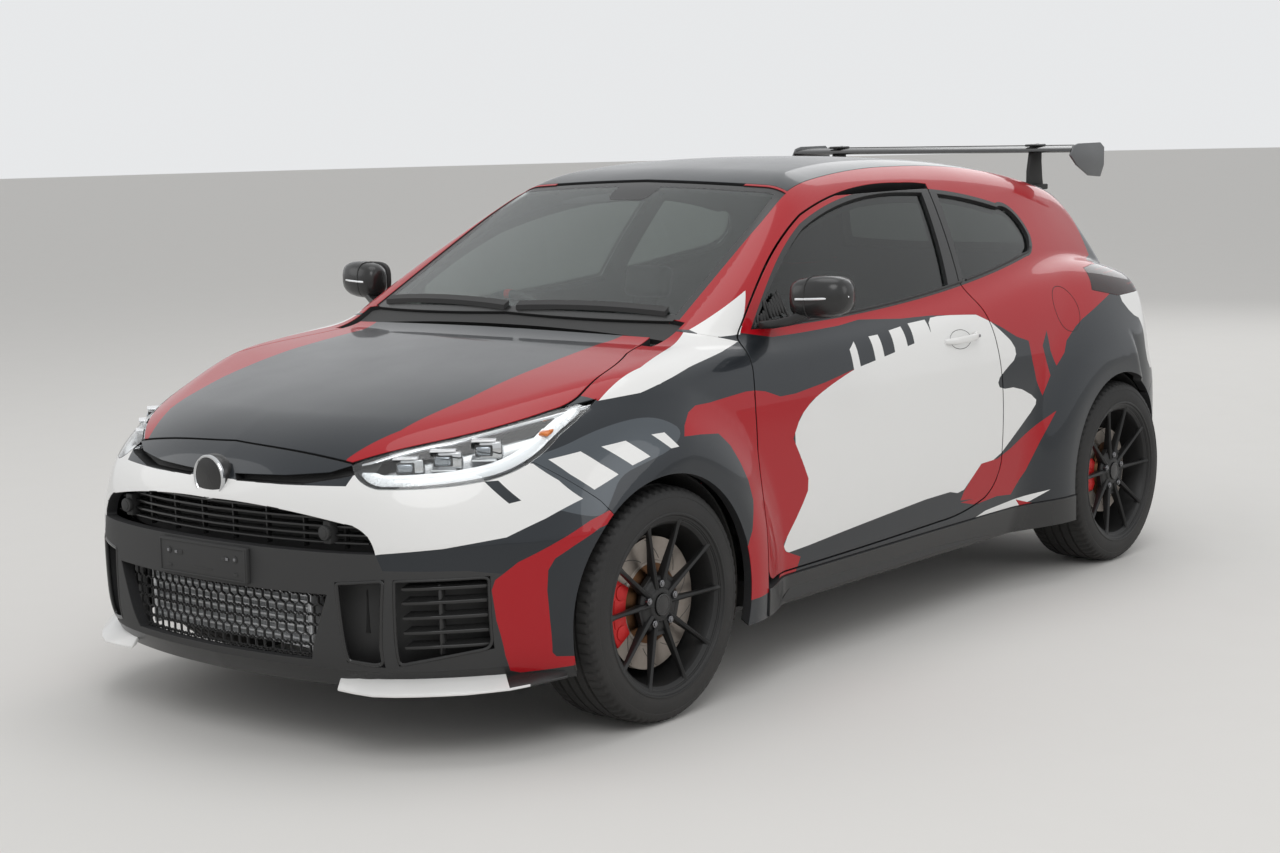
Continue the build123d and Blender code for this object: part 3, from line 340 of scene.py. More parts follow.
cowl_box = corners([(-630, -900), (630, -900), (630, -745), (-630, -745)])
sill_box = corners([(-2200, -100), (2200, -100), (2200, 290), (-590, 290), (-640, 285), (-2200, 285)])
# Room for the lower front corner of the opened door
door_swing = corners([(-712, 284), (-608, 284), (-596, 306), (-712, 330)])
behind_roof = corners([(-900, 1446), (900, 1446), (900, 2100), (-900, 2100)])
bonnet_turn = corners([(-598, -1000), (598, -1000), (598, -800), (-598, -800)])
skirt_box = corners([(-800, 205), (1046, 205), (1046, 289.7), (-590, 289.7), (-640, 284.7), (-800, 284.7)])
pipe_x, pipe_z, pipe_radius = 560.0, 262.0, 52.0
arches = [("side", ring_of(y, wheel_z, arch_radius)) for y in (front_axle_y, rear_axle_y)]


def region(plane, points, by=0.0):
    """One outline to keep, cut or paint, alone or with others that it must share."""
    return [(plane, drawn(points, by))]


def inside_all(outlines, p):
    """Which of the points lie inside every one of the outlines."""
    good = np.ones(len(p), bool)
    for plane, poly in outlines:
        good &= within(poly, seen(plane, p))
    return good


def trace(way, low, high, keep, cut, marks, base, step, set_in):
    """Triangles on the skin inside every kept outline and outside every cut one, and each one's paint."""
    spots, links = [], []
    low, high = np.array(low, float), np.array(high, float)
    outlines = list(keep) + [o for group in cut for o in group] + [o for mark in marks for o in mark[1]]
    for plane, poly in outlines:
        start, ray = aim(plane, poly)
        ok = body_depth(*start.T) > 0
        uv = flat(way, meet_skin(start, ray))
        ok &= np.all((uv > low - 15) & (uv < high + 15), axis=1)
        index = np.full(len(poly), -1)
        index[ok] = np.arange(ok.sum()) + len(spots)
        spots += list(uv[ok])
        near = np.linalg.norm(uv - np.roll(uv, -1, axis=0), axis=1) < 60
        links += [(a, b) for a, b, n in zip(index, np.roll(index, -1), near) if a >= 0 and b >= 0 and n]
    border = drawn(corners([tuple(low), (high[0], low[1]), tuple(high), (low[0], high[1])]), 0, step)
    links += [(len(spots) + i, len(spots) + (i + 1) % len(border)) for i in range(len(border))]
    spots += list(border)
    rise = step * 0.866
    gu, gv = np.meshgrid(np.arange((high[0] - low[0]) // step + 1), np.arange((high[1] - low[1]) // rise + 1))
    grid = np.stack([low[0] + (gu + 0.5 * (gv % 2)) * step, low[1] + gv * rise], -1).reshape(-1, 2)
    grid = grid[np.all((grid > low + step * 0.4) & (grid < high - step * 0.4), axis=1)]
    taken = {}
    for q in spots:
        taken.setdefault((int(q[0] // step), int(q[1] // step)), []).append(q)
    for g in grid:
        i, j = int(g[0] // step), int(g[1] // step)
        close = [q for a in (i - 1, i, i + 1) for b in (j - 1, j, j + 1) for q in taken.get((a, b), ())]
        if not close or min((q[0] - g[0])**2 + (q[1] - g[1])**2 for q in close) > (0.5 * step)**2:
            spots.append(g)
    placed, _, faces = delaunay_2d_cdt([Vector(s) for s in spots], links, [], 0, 1e-3, False)[:3]
    uv = np.array([tuple(v) for v in placed])
    tris = np.array([f for f in faces if len(f) == 3])
    start, ray = rays(way, uv[:, 0], uv[:, 1])
    skin = meet_skin(start, ray)
    middle, centre = skin[tris].mean(axis=1), uv[tris].mean(axis=1)
    good = inside_all(keep, middle) & np.all((centre > low) & (centre < high), axis=1)
    for group in cut:
        good &= ~inside_all(group, middle)
    paint = np.full(len(tris), base)
    for index, group in marks:
        paint[inside_all(group, middle)] = index
    n = np.cross(skin[tris[:, 1]] - skin[tris[:, 0]], skin[tris[:, 2]] - skin[tris[:, 0]])
    good &= np.linalg.norm(n, axis=1) > 1e-4
    turned = np.einsum("ij,ij->i", n, ray[tris[:, 0]]) < 0
    tris[turned] = tris[turned][:, ::-1]
    tris, paint = tris[good], paint[good]
    used, fresh = np.unique(tris, return_inverse=True)
    return skin[used] - set_in * ray[used], ray[used], outward(skin[used]), fresh.reshape(tris.shape), paint


# Paints of the panels, by the numbers that the livery's areas use
# The walls and inner faces of the panels are dark by default: painted shade, so that the gaps between the
# panels read dark
DARK, WHITE, RED, GLOSS, MATTE, SLATE, GAP_SHADE, PANE, FRIT, LENS, RED_LENS, CHROME, PRIVACY = range(13)
PAINTS = ("paint_dark", "paint_white", "paint_red", "gloss_black", "trim_black", "paint_slate", "inner_dark",
          "tinted_glass", "gloss_black", "clear_lens", "red_lens", "lamp_chrome", "privacy_glass")


def rounded(points, rounds=2):
    """The outline with its corners cut round."""
    p = np.array(points, float)
    for _ in range(rounds):
        after = np.roll(p, -1, axis=0)
        p = np.stack([0.75 * p + 0.25 * after, 0.25 * p + 0.75 * after], 1).reshape(-1, 2)
    return p


def area(paint, plane, points, rounds=0, step=12.0):
    """An area of paint, seen in a plane."""
    p = rounded(points, rounds) if rounds else np.array(points, float)
    out = []
    for a, b in zip(p, np.roll(p, -1, axis=0)):
        count = max(1, int(np.linalg.norm(b - a) / step))
        out += [a + (b - a) * i / count for i in range(count)]
    return paint, [(plane, np.array(out))]


red_block = [(-1076, 760), (-1060, 786), (-1022, 816), (-979, 829), (-904, 828), (-734, 838), (-687, 836),
             (-640, 828), (-572, 806), (-497, 806), (-342, 821), (-178, 844), (-263, 824), (-340, 803),
             (-417, 777), (-482, 738), (-522, 680), (-480, 611), (-442, 536), (-494, 470), (-580, 382),
             (-568, 360), (-553, 354), (-490, 331), (-510, 287), (-765, 270), (-880, 270), (-863, 349),
             (-822, 424), (-799, 464), (-781, 544), (-794, 601), (-823, 655), (-860, 707), (-910, 746),
             (-1003, 756)]
door_patch = [(-417, 777), (-482, 738), (-522, 680), (-480, 611), (-442, 536), (-494, 470), (-580, 382),
              (-568, 360), (-543, 352), (-180, 376), (307, 404), (398, 384), (458, 424), (518, 464),
              (611, 465), (737, 538), (856, 611), (864, 640), (747, 689), (641, 691), (624, 722), (683, 755),
              (750, 785), (747, 828), (668, 887), (598, 935), (561, 941), (369, 954), (286, 951), (268, 898),
              (158, 886), (43, 870), (-66, 857), (-178, 844), (-263, 824), (-340, 803)]
patch_bars = [[(-186, 901), (-149, 921), (-149, 790), (-186, 790)],
              [(-63, 928), (-13, 929), (-15, 800), (-66, 800)],
              [(54, 935), (126, 941), (121, 820), (43, 820)],
              [(172, 946), (272, 949), (268, 840), (158, 840)]]
# Reaches past the roof and the tail, so that the whole upper flank there is red
upper_red = [(-800, 1010), (-640, 990), (-505, 966), (-372, 966), (-173, 969), (-59, 977), (154, 962),
             (317, 958), (561, 941), (683, 892), (767, 852), (837, 832), (849, 765), (869, 696), (898, 643),
             (951, 705), (921, 808), (960, 855), (968, 787), (990, 734), (1047, 773), (1073, 811),
             (1145, 852), (1201, 874), (1352, 917), (1472, 949), (1520, 1040), (1640, 1060), (1640, 1560),
             (-300, 1560), (-800, 1240)]
rear_red = [(958, 586), (870, 495), (791, 404), (753, 375), (708, 335), (394, 362), (411, 385), (458, 424),
            (518, 464), (618, 467), (699, 490), (850, 548)]
sill_marks = [(RED, [(489, 334), (395, 355), (705, 355), (765, 374), (643, 344)]),
              (WHITE, [(444, 279), (556, 304), (711, 314), (906, 326), (818, 299), (687, 277), (568, 252)]),
              (RED, [(742, 313), (957, 254), (908, 247), (772, 281)])]
swoosh = [(-1560, 752), (-1457, 773), (-1365, 802), (-1270, 820), (-1188, 824), (-1124, 809), (-1072, 775),
          (-1137, 734), (-1241, 713), (-1330, 691), (-1370, 640), (-1400, 600), (-1448, 600), (-1560, 640)]
dashes = [[(-1500, 748), (-1415, 760), (-1377, 726), (-1335, 694), (-1416, 665), (-1465, 708)],
          [(-1356, 766), (-1281, 773), (-1220, 726), (-1285, 711)],
          [(-1193, 779), (-1146, 779), (-1108, 738), (-1140, 737)]]
pillar_foot = [(-531, 1099), (-765, 1006), (-760, 984), (-630, 984)]
wing_white_side = [(-773, 1002), (-638, 995), (-653, 969), (-762, 950), (-932, 927), (-1083, 898),
                   (-1163, 882), (-1226, 878), (-1289, 873), (-1091, 938)]
wing_white_top = [(660, -773), (731, -638), (748, -653), (772, -762), (791, -932), (806, -1083),
                  (802, -1163), (785, -1226), (763, -1289), (745, -1091)]
wing_red_top = [(540, -790), (653, -783), (745, -1091), (763, -1289), (700, -1340), (560, -1100)]
bonnet_band = [(389, -1832), (451, -1703), (488, -1479), (493, -1207), (474, -930), (496, -833), (579, -800),
               (780, -800), (780, -1900), (389, -1900)]
nose_white = [(-20, 704), (243, 701), (428, 705), (440, 765), (700, 765), (752, 741), (801, 697), (841, 647),
              (806, 609), (759, 572), (659, 553), (529, 543), (510, 585), (470, 612), (235, 645), (-20, 652)]
nose_tick = [(694, 708), (715, 708), (763, 657), (747, 652)]
nose_mouth = [(-20, 653), (235, 646), (470, 613), (510, 586), (529, 543), (545, 502), (700, 495), (762, 480),
              (752, 442), (754, 365), (757, 271), (757, 243), (690, 240), (560, 226), (380, 216), (-20, 214)]
nose_slot = corners([(76, 717), (243, 723), (367, 735), (430, 757), (470, 742), (416, 725), (301, 704),
                     (90, 701)])
red_pillar = [(-1375, 612), (-1333, 584), (-1422, 570), (-1500, 535), (-1551, 508), (-1569, 480),
              (-1573, 429), (-1568, 352), (-1560, 267), (-1549, 255), (-1467, 245), (-1462, 225),
              (-1623, 221), (-1646, 229), (-1663, 271), (-1684, 365), (-1692, 442), (-1684, 467),
              (-1634, 508), (-1538, 552), (-1448, 591)]
tail_white = [(1640, 700), (1700, 640), (1760, 700), (1830, 790), (1900, 910), (1560, 960), (1500, 925),
              (1560, 860), (1627, 837)]
tail_black = [(-20, 190), (640, 190), (660, 300), (600, 400), (420, 450), (-20, 460)]

surround = (GLOSS, [("side", drawn(window_points, 14))])
flank = [area(RED, "side", red_block), area(WHITE, "side", door_patch, 1), area(RED, "side", upper_red)]
flank += [area(WHITE, "side", bar) for bar in patch_bars]
flank += [area(RED, "side", rear_red)] + [area(paint, "side", p) for paint, p in sill_marks]
flank += [area(WHITE, "side", pillar_foot), area(WHITE, "side", tail_white, 1), surround]
haunch = [area(SLATE, "side", swoosh, 2)] + [area(WHITE, "side", dash) for dash in dashes]
front_marks = [area(DARK, "front", [(-20, 810), (430, 810), (440, 760), (428, 705), (-20, 705)]),
               area(SLATE, "side", swoosh, 2), area(WHITE, "front", nose_white),
               area(WHITE, "side", dashes[0]), area(DARK, "front", nose_tick),
               area(MATTE, "front", nose_mouth),
               area(GLOSS, "front", [(-20, 241), (900, 241), (900, 150), (-20, 150)]),
               area(RED, "side", red_pillar)]


def thick_door(p):
    """Full depth below the belt, a frame above it, and thin where the hinge arms reach in."""
    depth = np.where(p[:, 2] < 955, 95.0, 42.0)
    pocket = (p[:, 1] < -585) & ((np.abs(p[:, 2] - 420) < 42) | (np.abs(p[:, 2] - 760) < 42))
    return np.where(pocket, 7.0, depth)


def thick_roof(p):
    """Thinner at the rear, where the tailgate turns below it."""
    y = np.clip(np.abs(p[:, 1] - 1480), 0, 90)
    room = 1280 + np.sqrt(90**2 - y**2)
    return np.where(y < 90, np.clip(p[:, 2] - room, 2, 28), 28.0)


def thick_wing(p):
    """Thin along the door's edge, which swings in behind it."""
    return np.where(p[:, 1] > -722, 6.0, 30.0)


def thick_tailgate(p):
    """Thin along the edge, so that it swings clear of the side panels."""
    wide = np.interp(p[:, 2], [560, 645, 745, 830, 930, 1040, 1180, 1290, 1340, 1500],
                     [380, 480, 545, 585, 592, 590, 560, 515, 490, 462])
    return np.where((np.abs(p[:, 0]) > wide - 34) | (p[:, 2] > 1330), 11.0, 34.0)


def thick_side(p):
    """Thin beside the tailgate's hinges."""
    return np.where((p[:, 1] > 1380) & (p[:, 0] < 520) & (p[:, 2] > 1200), 4.0, 34.0)


# What the panels keep or leave out
behind = ("top", drawn(behind_roof))
tailgate_hole = [("rear", drawn(tailgate_points, gap)), behind]
bonnet_hole = region("top", bonnet_points, gap)
door_hole = region("side", door_points, gap)
lamp_hole = region("lamp", lamp_points, seat)
tail_lamp_hole = region("side", tail_lamp_points, seat)
wing_hole = region("side", wing_points, seat)
arch_holes = [[arch] for arch in arches]
window_ahead = [("side", drawn(window_points)), ("side", drawn(ahead_of_post))]
window_behind = [("side", drawn(window_points)), ("side", drawn(behind_post))]
pipe_hole = [("rear", ring_of(pipe_x, pipe_z, pipe_radius + 8, 40))]
wing_cuts = [bonnet_hole, lamp_hole, door_hole, region("top", cowl_box), region("top", bonnet_turn),
             arch_holes[0]]
nose_cuts = [wing_hole, bonnet_hole, lamp_hole]
nose_cuts += [region("front", hole) for hole in (upper_intake, lower_intake, side_duct, side_vent, nose_slot)]
nose_cuts.append(arch_holes[0])
flank_cuts = [door_hole, window_behind, wing_hole, region("side", rear_bumper_points, seat), tail_lamp_hole,
              bonnet_hole, region("top", screen_points, seat), region("top", cowl_box),
              region("top", roof_points, seat), tailgate_hole, region("side", sill_box),
              region("side", door_swing), region("top", bonnet_turn)] + arch_holes
wing_marks = [area(WHITE, "side", wing_white_side), area(RED, "top", wing_red_top),
              area(WHITE, "top", wing_white_top), area(RED, "side", red_block)] + haunch
screen_marks = [area(PANE, "top", drawn(screen_points, -26)),
                area(FRIT, "top", [(-10, -60), (95, -60), (80, -205), (60, -225), (-10, -225)])]


def back_plate(x0, z0, x1, z1):
    """The rectangle of a dark sheet behind an opening of the nose: matte black for the ducting, and painted
    shade for the dark deep inside the opening.
    """
    return region("front", corners([(x0, z0), (x1, z0), (x1, z1), (x0, z1)]))


def panel(name, body, slot, node, way, low, high, keep, cut=(), marks=(), base=DARK, thick=30.0, step=20,
          set_in=0, whole=False, lining=GAP_SHADE):
    """A row of the panels table: the node that it replaces, the rectangle from low to high that its way of
    looking covers, outlines to keep and groups to cut, painted areas, thickness, step of the mesh, how far
    the sheet is set in, whether it spans the whole car, and the paint of its lining (None for glass): its
    walls and inner faces, by default a dark painted shade that makes the gaps between the panels read dark."""
    return name, body, slot, node, way, low, high, keep, cut, marks, base, thick, step, set_in, whole, lining


panels = [
    panel("bonnet_panel", "bonnet", "body_paint", "bonnet", "top", (0, -1880), (745, -815),
          region("top", bonnet_points), marks=[area(RED, "top", bonnet_band)], thick=24.0, whole=True),
    panel("roof_panel", "root", "body_paint", "roof", "top", (0, -135), (545, 1475),
          region("top", roof_points), thick=thick_roof, step=22, whole=True),
    panel("wing_panel", "root", "body_paint", "front_wing", "side", (-1665, -377), (-640, 607),
          region("side", wing_points), cut=wing_cuts, marks=wing_marks, thick=thick_wing, step=18),
    panel("bumper_front", "root", "body_paint", "front_bumper", "nose", (0, 192), (1172.9, 800), [],
          cut=nose_cuts, marks=front_marks, step=16, whole=True),
    panel("flank_panel", "root", "body_paint", "side_panel", "side", (-865, -356), (1905, 796),
          region("side", near_door), cut=flank_cuts, marks=flank, thick=thick_side),
    panel("door_panel", "door", "body_paint", "door", "side", (-740, -356), (690, 649),
          region("side", door_points), cut=[window_ahead], marks=flank, thick=thick_door, step=18),
    panel("tailgate_panel", "tailgate", "body_paint", "tailgate", "hatch", (0, -251), (640, 848),
          [("rear", drawn(tailgate_points)), ("top", drawn(grown(behind_roof, -gap)))],
          cut=[region("rear", hatch_glass_points)], thick=thick_tailgate, whole=True),
    panel("bumper_rear", "root", "body_paint", "rear_bumper", "tail", (0, 190), (1026, 900),
          region("side", rear_bumper_points), cut=[tailgate_hole, tail_lamp_hole, pipe_hole, arch_holes[1]],
          marks=[area(WHITE, "side", tail_white, 1), area(MATTE, "rear", tail_black)], whole=True),
    panel("door_glass", "door", "dark_glass", "door_window", "side", (-740, 209), (700, 670),
          [("side", drawn(window_points, -seat)), ("side", drawn(ahead_of_post, -seat))], base=PRIVACY,
          thick=6.0, step=30, set_in=12, lining=None),
    panel("quarter_glass", "root", "dark_glass", None, "side", (420, 251), (1230, 649),
          [("side", drawn(window_points, -seat)), ("side", drawn(behind_post, -seat))], base=PRIVACY,
          thick=6.0, step=30, set_in=12, lining=None),
    panel("windscreen", "root", "glass", "fixed_glass", "top", (0, -900), (700, -60),
          region("top", screen_points), marks=screen_marks, base=FRIT, thick=6.0, step=30, set_in=4,
          whole=True, lining=None),
    panel("hatch_pane", "tailgate", "dark_glass", "hatch_glass", "hatch", (0, 126), (500, 785),
          region("rear", hatch_glass_points, -seat),
          marks=[area(PRIVACY, "rear", drawn(hatch_glass_points, -30))], base=FRIT, thick=6.0, step=30,
          set_in=5, whole=True, lining=None),
    panel("tail_lens", "root", "lamp_red", "tail_lamps", "tail", (244, 925), (1130, 1045),
          region("side", tail_lamp_points), cut=[tailgate_hole], base=RED_LENS, thick=20.0, step=16),
    panel("headlamp_lens", "root", "lamp_clear", "headlamps", "lamp", (-420, -170), (420, 170),
          region("lamp", lamp_points), cut=[bonnet_hole], base=LENS, thick=3.0, step=14, lining=LENS),
    panel("headlamp_bowl", "root", "lamp_clear", None, "lamp", (-420, -170), (420, 170),
          region("lamp", lamp_points), cut=[bonnet_hole], base=CHROME, thick=5.0, step=16, set_in=46),
    panel("skirt", "root", "gloss_black", "side_skirts", "side", (-800, -408), (1046, -283),
          region("side", skirt_box), cut=[wing_hole] + arch_holes, base=GLOSS, thick=55.0, step=24,
          set_in=-6),
    # Matte black sheets behind the nose's openings: the ducting's black, and painted shade for the dark deep
    # inside them
    panel("duct_back", "root", "trim_black", None, "nose", (0, 215), (960, 560),
          back_plate(405, 225, 760, 500), base=MATTE, thick=4.0, step=30, set_in=62, whole=True,
          lining=MATTE),
    panel("intake_back", "root", "trim_black", None, "nose", (0, 500), (760, 720),
          back_plate(-560, 525, 560, 668), base=MATTE, thick=4.0, step=30, set_in=84, whole=True,
          lining=MATTE),
    panel("slot_back", "root", "trim_black", None, "nose", (0, 660), (700, 790),
          back_plate(-20, 690, 480, 768), base=MATTE, thick=3.0, step=30, set_in=34, whole=True,
          lining=MATTE),
]


def add_mesh(name, points, faces, normals, slots, paints):
    """A mesh object with its own normals and one finish for each face."""
    mesh = bpy.data.meshes.new(name)
    mesh.from_pydata((points * MM).tolist(), [], faces)
    used = sorted(set(slots))
    for index in used:
        mesh.materials.append(bpy.data.materials[paints[index]])
    mesh.polygons.foreach_set("material_index", [used.index(s) for s in slots])
    mesh.polygons.foreach_set("use_smooth", [True] * len(faces))
    mesh.normals_split_custom_set(normals)
    piece = bpy.data.objects.new(name, mesh)
    bpy.context.collection.objects.link(piece)
    return piece


def pressed(name, traced, thick, whole, lining, side=1):
    """Gives a traced sheet its wall and a rounded edge, mirrored over the middle or to the right side."""
    lip = bpy.context.scene.rally_car.panel_lip / MM
    points, ray, normal, tris, paint = traced
    flip = np.array([-1.0, 1.0, 1.0])
    if whole:
        middle = np.abs(points[:, 0]) < 0.05
        twin = np.where(middle, np.arange(len(points)), len(points) + np.cumsum(~middle) - 1)
        tris = np.concatenate([tris, twin[tris][:, ::-1]])
        paint = np.concatenate([paint, paint])
        normal = np.where(middle[:, None], normal * [0, 1, 1], normal)
        points, ray, normal = (np.concatenate([a, a[~middle] * flip]) for a in (points, ray, normal))
    if side < 0:
        points, ray, normal, tris = points * flip, ray * flip, normal * flip, tris[:, ::-1]
    near = {}
    for t, (a, b, c) in enumerate(tris.tolist()):
        near.update({(a, b): t, (b, c): t, (c, a): t})
    rim = np.array([(a, b, t) for (a, b), t in near.items() if (b, a) not in near])
    a, b = rim[:, 0], rim[:, 1]
    along = points[b] - points[a]
    along /= np.linalg.norm(along, axis=1, keepdims=True)
    away = np.zeros_like(points)
    for ends in (a, b):
        np.add.at(away, ends, np.cross(along, normal[ends]))
    away /= np.maximum(np.linalg.norm(away, axis=1, keepdims=True), 1e-9)
    half = (normal + away) / np.maximum(np.linalg.norm(normal + away, axis=1, keepdims=True), 1e-9)
    edge, count = np.unique(rim[:, :2]), len(points)
    first = np.full(count, -1)
    first[edge] = count + np.arange(len(edge))
    second, third = first + len(edge), count + 2 * len(edge) + np.arange(count)
    depth = (thick(points) if callable(thick) else np.full(count, thick))[:, None]
    ring1 = points[edge] - 0.293 * lip * (away[edge] + normal[edge])
    ring2 = points[edge] - lip * normal[edge]
    inner = points - depth * ray
    outer = points.copy()
    outer[edge] -= lip * away[edge]
    strips = [(np.stack([b, a, first[a], first[b]], 1), (normal[b], normal[a], half[a], half[b])),
              (np.stack([first[b], first[a], second[a], second[b]], 1), (half[b], half[a], away[a], away[b])),
              (np.stack([second[b], second[a], third[a], third[b]], 1), (away[b], away[a], away[a], away[b]))]
    faces = tris.tolist() + [f for strip, _ in strips for f in strip.tolist()] + third[tris][:, ::-1].tolist()
    normals = [normal[tris].reshape(-1, 3)]
    normals += [np.stack(n, 1).reshape(-1, 3) for _, n in strips]
    normals.append(-normal[tris][:, ::-1].reshape(-1, 3))
    rim_paint = paint[rim[:, 2]]
    # Walls and inner faces take the lining paint, by default a dark painted shade that makes the gaps read
    # dark
    inside = paint if lining is None else np.full(len(tris), lining)
    wall = rim_paint if lining is None else np.full(len(rim), lining)
    slots = np.concatenate([paint, rim_paint, rim_paint, wall, inside]).tolist()
    points = np.concatenate([outer, ring1, ring2, inner])
    return add_mesh(name, points, faces, np.concatenate(normals).tolist(), slots, PAINTS)


def add_panels(*names):
    """Builds the named rows of the panels table, left and right where a row isn't the whole width."""
    for (name, body, slot, node, way, low, high, keep, cut, marks, base, thick, step, set_in, whole,
         lining) in panels:
        if name not in names:
            continue
        step = step * 1.0
        traced = trace(way, low, high, keep, cut, marks, base, step, set_in)
        for side, mark in ((1, ""),) if whole else ((1, "_l"), (-1, "_r")):
            piece = pressed(name + mark, traced, thick, whole, lining, side)
            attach(piece, body + mark if body == "door" else body)
            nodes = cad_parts
            if node and node + mark in nodes:
                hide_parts(node + mark)
            elif node and node in nodes:
                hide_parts(node)


# Pieces made with the modelling tools
def clear():
    if bpy.context.object and bpy.context.object.mode != "OBJECT":
        bpy.ops.object.mode_set(mode="OBJECT")
    bpy.ops.object.select_all(action="DESELECT")


def pick(piece):
    clear()
    piece.select_set(True)
    bpy.context.view_layer.objects.active = piece
    return piece


def soften(piece, width, segments=2, angle=30.0):
    """Rounds the piece's edges."""
    pick(piece)
    bevel = piece.modifiers.new("Edges", "BEVEL")
    bevel.width, bevel.segments, bevel.angle_limit = width * MM, segments, radians(angle)
    bpy.ops.object.modifier_apply(modifier=bevel.name)
    return piece


def closed_up(piece):
    """Merges doubles and points the faces outward."""
    pick(piece)
    bpy.ops.object.mode_set(mode="EDIT")
    bpy.ops.mesh.select_all(action="SELECT")
    bpy.ops.mesh.remove_doubles(threshold=0.00002)
    bpy.ops.mesh.normals_make_consistent(inside=False)
    bpy.ops.object.mode_set(mode="OBJECT")
    return piece


def loop_of(places, fill="NGON"):
    """A loop through places in millimetres, left open for editing with all of it selected."""
    clear()
    bpy.ops.mesh.primitive_circle_add(vertices=len(places), radius=0.1, fill_type=fill)
    piece = bpy.context.object
    for v, p in zip(piece.data.vertices, places):
        v.co = Vector(p) * MM
    bpy.ops.object.mode_set(mode="EDIT")
    bpy.ops.mesh.select_all(action="SELECT")
    return piece


def turned(profile, steps=48):
    """Spins a closed profile of (x, radius) about the X axis through the origin."""
    piece = loop_of([(x, 0, r) for x, r in profile], "NOTHING")
    bpy.ops.mesh.spin(steps=steps, angle=2 * pi, center=(0, 0, 0), axis=(1, 0, 0))
    return closed_up(piece)


def cast(outline, axis, low, high, edge=0.0, segments=2):
    """An outline seen along an axis, extruded from low to high along it."""
    place = {"x": lambda a, b, c: (c, a, b), "y": lambda a, b, c: (a, c, b),
             "z": lambda a, b, c: (a, b, c)}[axis]
    piece = loop_of([place(a, b, low) for a, b in outline])
    bpy.ops.mesh.extrude_region_move(TRANSFORM_OT_translate={"value": Vector(place(0, 0, (high - low) * MM))})
    closed_up(piece)
    return soften(piece, edge, segments) if edge else piece


def block(centre, size, edge=0.0, turn=(0, 0, 0), segments=2):
    clear()
    bpy.ops.mesh.primitive_cube_add(size=1, location=Vector(centre) * MM, rotation=[radians(t) for t in turn])
    piece = bpy.context.object
    piece.scale = Vector(size) * MM
    bpy.ops.object.transform_apply(location=True, rotation=True, scale=True)
    return soften(piece, edge, segments) if edge else piece


def drum(centre, radius, length, axis="x", edge=0.0, vertices=32):
    """A cylinder lying along an axis."""
    turn = {"x": (0, pi / 2, 0), "y": (pi / 2, 0, 0), "z": (0, 0, 0)}[axis]
    clear()
    bpy.ops.mesh.primitive_cylinder_add(vertices=vertices, radius=radius * MM, depth=length * MM,
                                        location=Vector(centre) * MM, rotation=turn)
    bpy.ops.object.transform_apply(location=True, rotation=True, scale=True)
    piece = bpy.context.object
    return soften(piece, edge) if edge else piece


def rod(points, radius, closed=False, sides=3):
    """A round bar along a smooth line through places in millimetres."""
    clear()
    bpy.ops.curve.primitive_nurbs_path_add()
    piece = bpy.context.object
    curve = piece.data
    curve.splines.clear()
    spline = curve.splines.new("NURBS")
    spline.points.add(len(points) - 1)
    for p, q in zip(spline.points, points):
        p.co = (*(Vector(q) * MM), 1)
    spline.order_u, spline.use_endpoint_u, spline.use_cyclic_u = 3, not closed, closed
    curve.bevel_depth, curve.bevel_resolution, curve.use_fill_caps = radius * MM, sides, True
    curve.resolution_u = 4
    pick(piece)
    bpy.ops.object.convert(target="MESH")
    return closed_up(bpy.context.object)


def coated(piece, finish):
    piece.data.materials.clear()
    piece.data.materials.append(bpy.data.materials[finish])
    return piece


def joined(pieces):
    pick(pieces[0])
    for piece in pieces:
        piece.select_set(True)
    bpy.ops.object.join()
    return bpy.context.object


def moved(piece, matrix):
    """Moves the mesh itself, and turns its faces back out where the move mirrors it."""
    piece.data.transform(matrix)
    if matrix.determinant() < 0:
        piece.data.flip_normals()
    return piece


def copied(piece, matrix):
    twin = piece.copy()
    twin.data = piece.data.copy()
    bpy.context.collection.objects.link(twin)
    return moved(twin, matrix)


def shifted(x, y, z):
    return Matrix.Translation(Vector((x, y, z)) * MM)


mirror_x = Matrix.Scale(-1, 4, (1, 0, 0))


def dressed(piece, name, body, replaced=(), angle=35.0):
    """Names the finished piece, smooths it and hangs it on its body."""
    pick(piece)
    bpy.ops.object.shade_smooth_by_angle(angle=radians(angle))
    piece.name = piece.data.name = name
    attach(piece, body)
    if replaced:
        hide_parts(*replaced)
    return piece


def both_sides(piece, name, body, replaced=None, angle=35.0):
    """The left piece and its mirror image; names, doors and replaced nodes end in _l and _r."""
    twin = copied(piece, mirror_x)
    for one, mark in ((piece, "_l"), (twin, "_r")):
        dressed(one, name + mark, body + mark if body == "door" else body,
                [replaced + mark] if replaced else (), angle)


# Places on the skin for trim
def on_skin(way, u, v, depth=0.0):
    """A place on the skin, or that deep below it."""
    start, ray = rays(way, np.array([float(u)]), np.array([float(v)]))
    p = meet_skin(start, ray)
    return (p - depth * outward(p))[0]


def nose_at(x, z, depth=0.0):
    """A place on the nose seen from the front."""
    p = meet_skin(*aim("front", np.array([[float(x), float(z)]])))
    return (p - depth * outward(p))[0]


def flank_at(y, z, depth=0.0):
    """A place on the flank seen from the left."""
    p = meet_skin(*aim("side", np.array([[float(y), float(z)]])))
    return (p - depth * outward(p))[0]


# Finishes
def new_group(name, inputs, outputs):
    """An empty node group with its sockets, as (name, type, value) and (name, type)."""
    tree = bpy.data.node_groups.new(name, "ShaderNodeTree")
    for label, kind, value in inputs:
        socket = tree.interface.new_socket(name=label, in_out="INPUT", socket_type="NodeSocket" + kind)
        if value is not None:
            socket.default_value = value
    for label, kind in outputs:
        tree.interface.new_socket(name=label, in_out="OUTPUT", socket_type="NodeSocket" + kind)
    return tree, tree.nodes.new("NodeGroupInput").outputs, tree.nodes.new("NodeGroupOutput").inputs


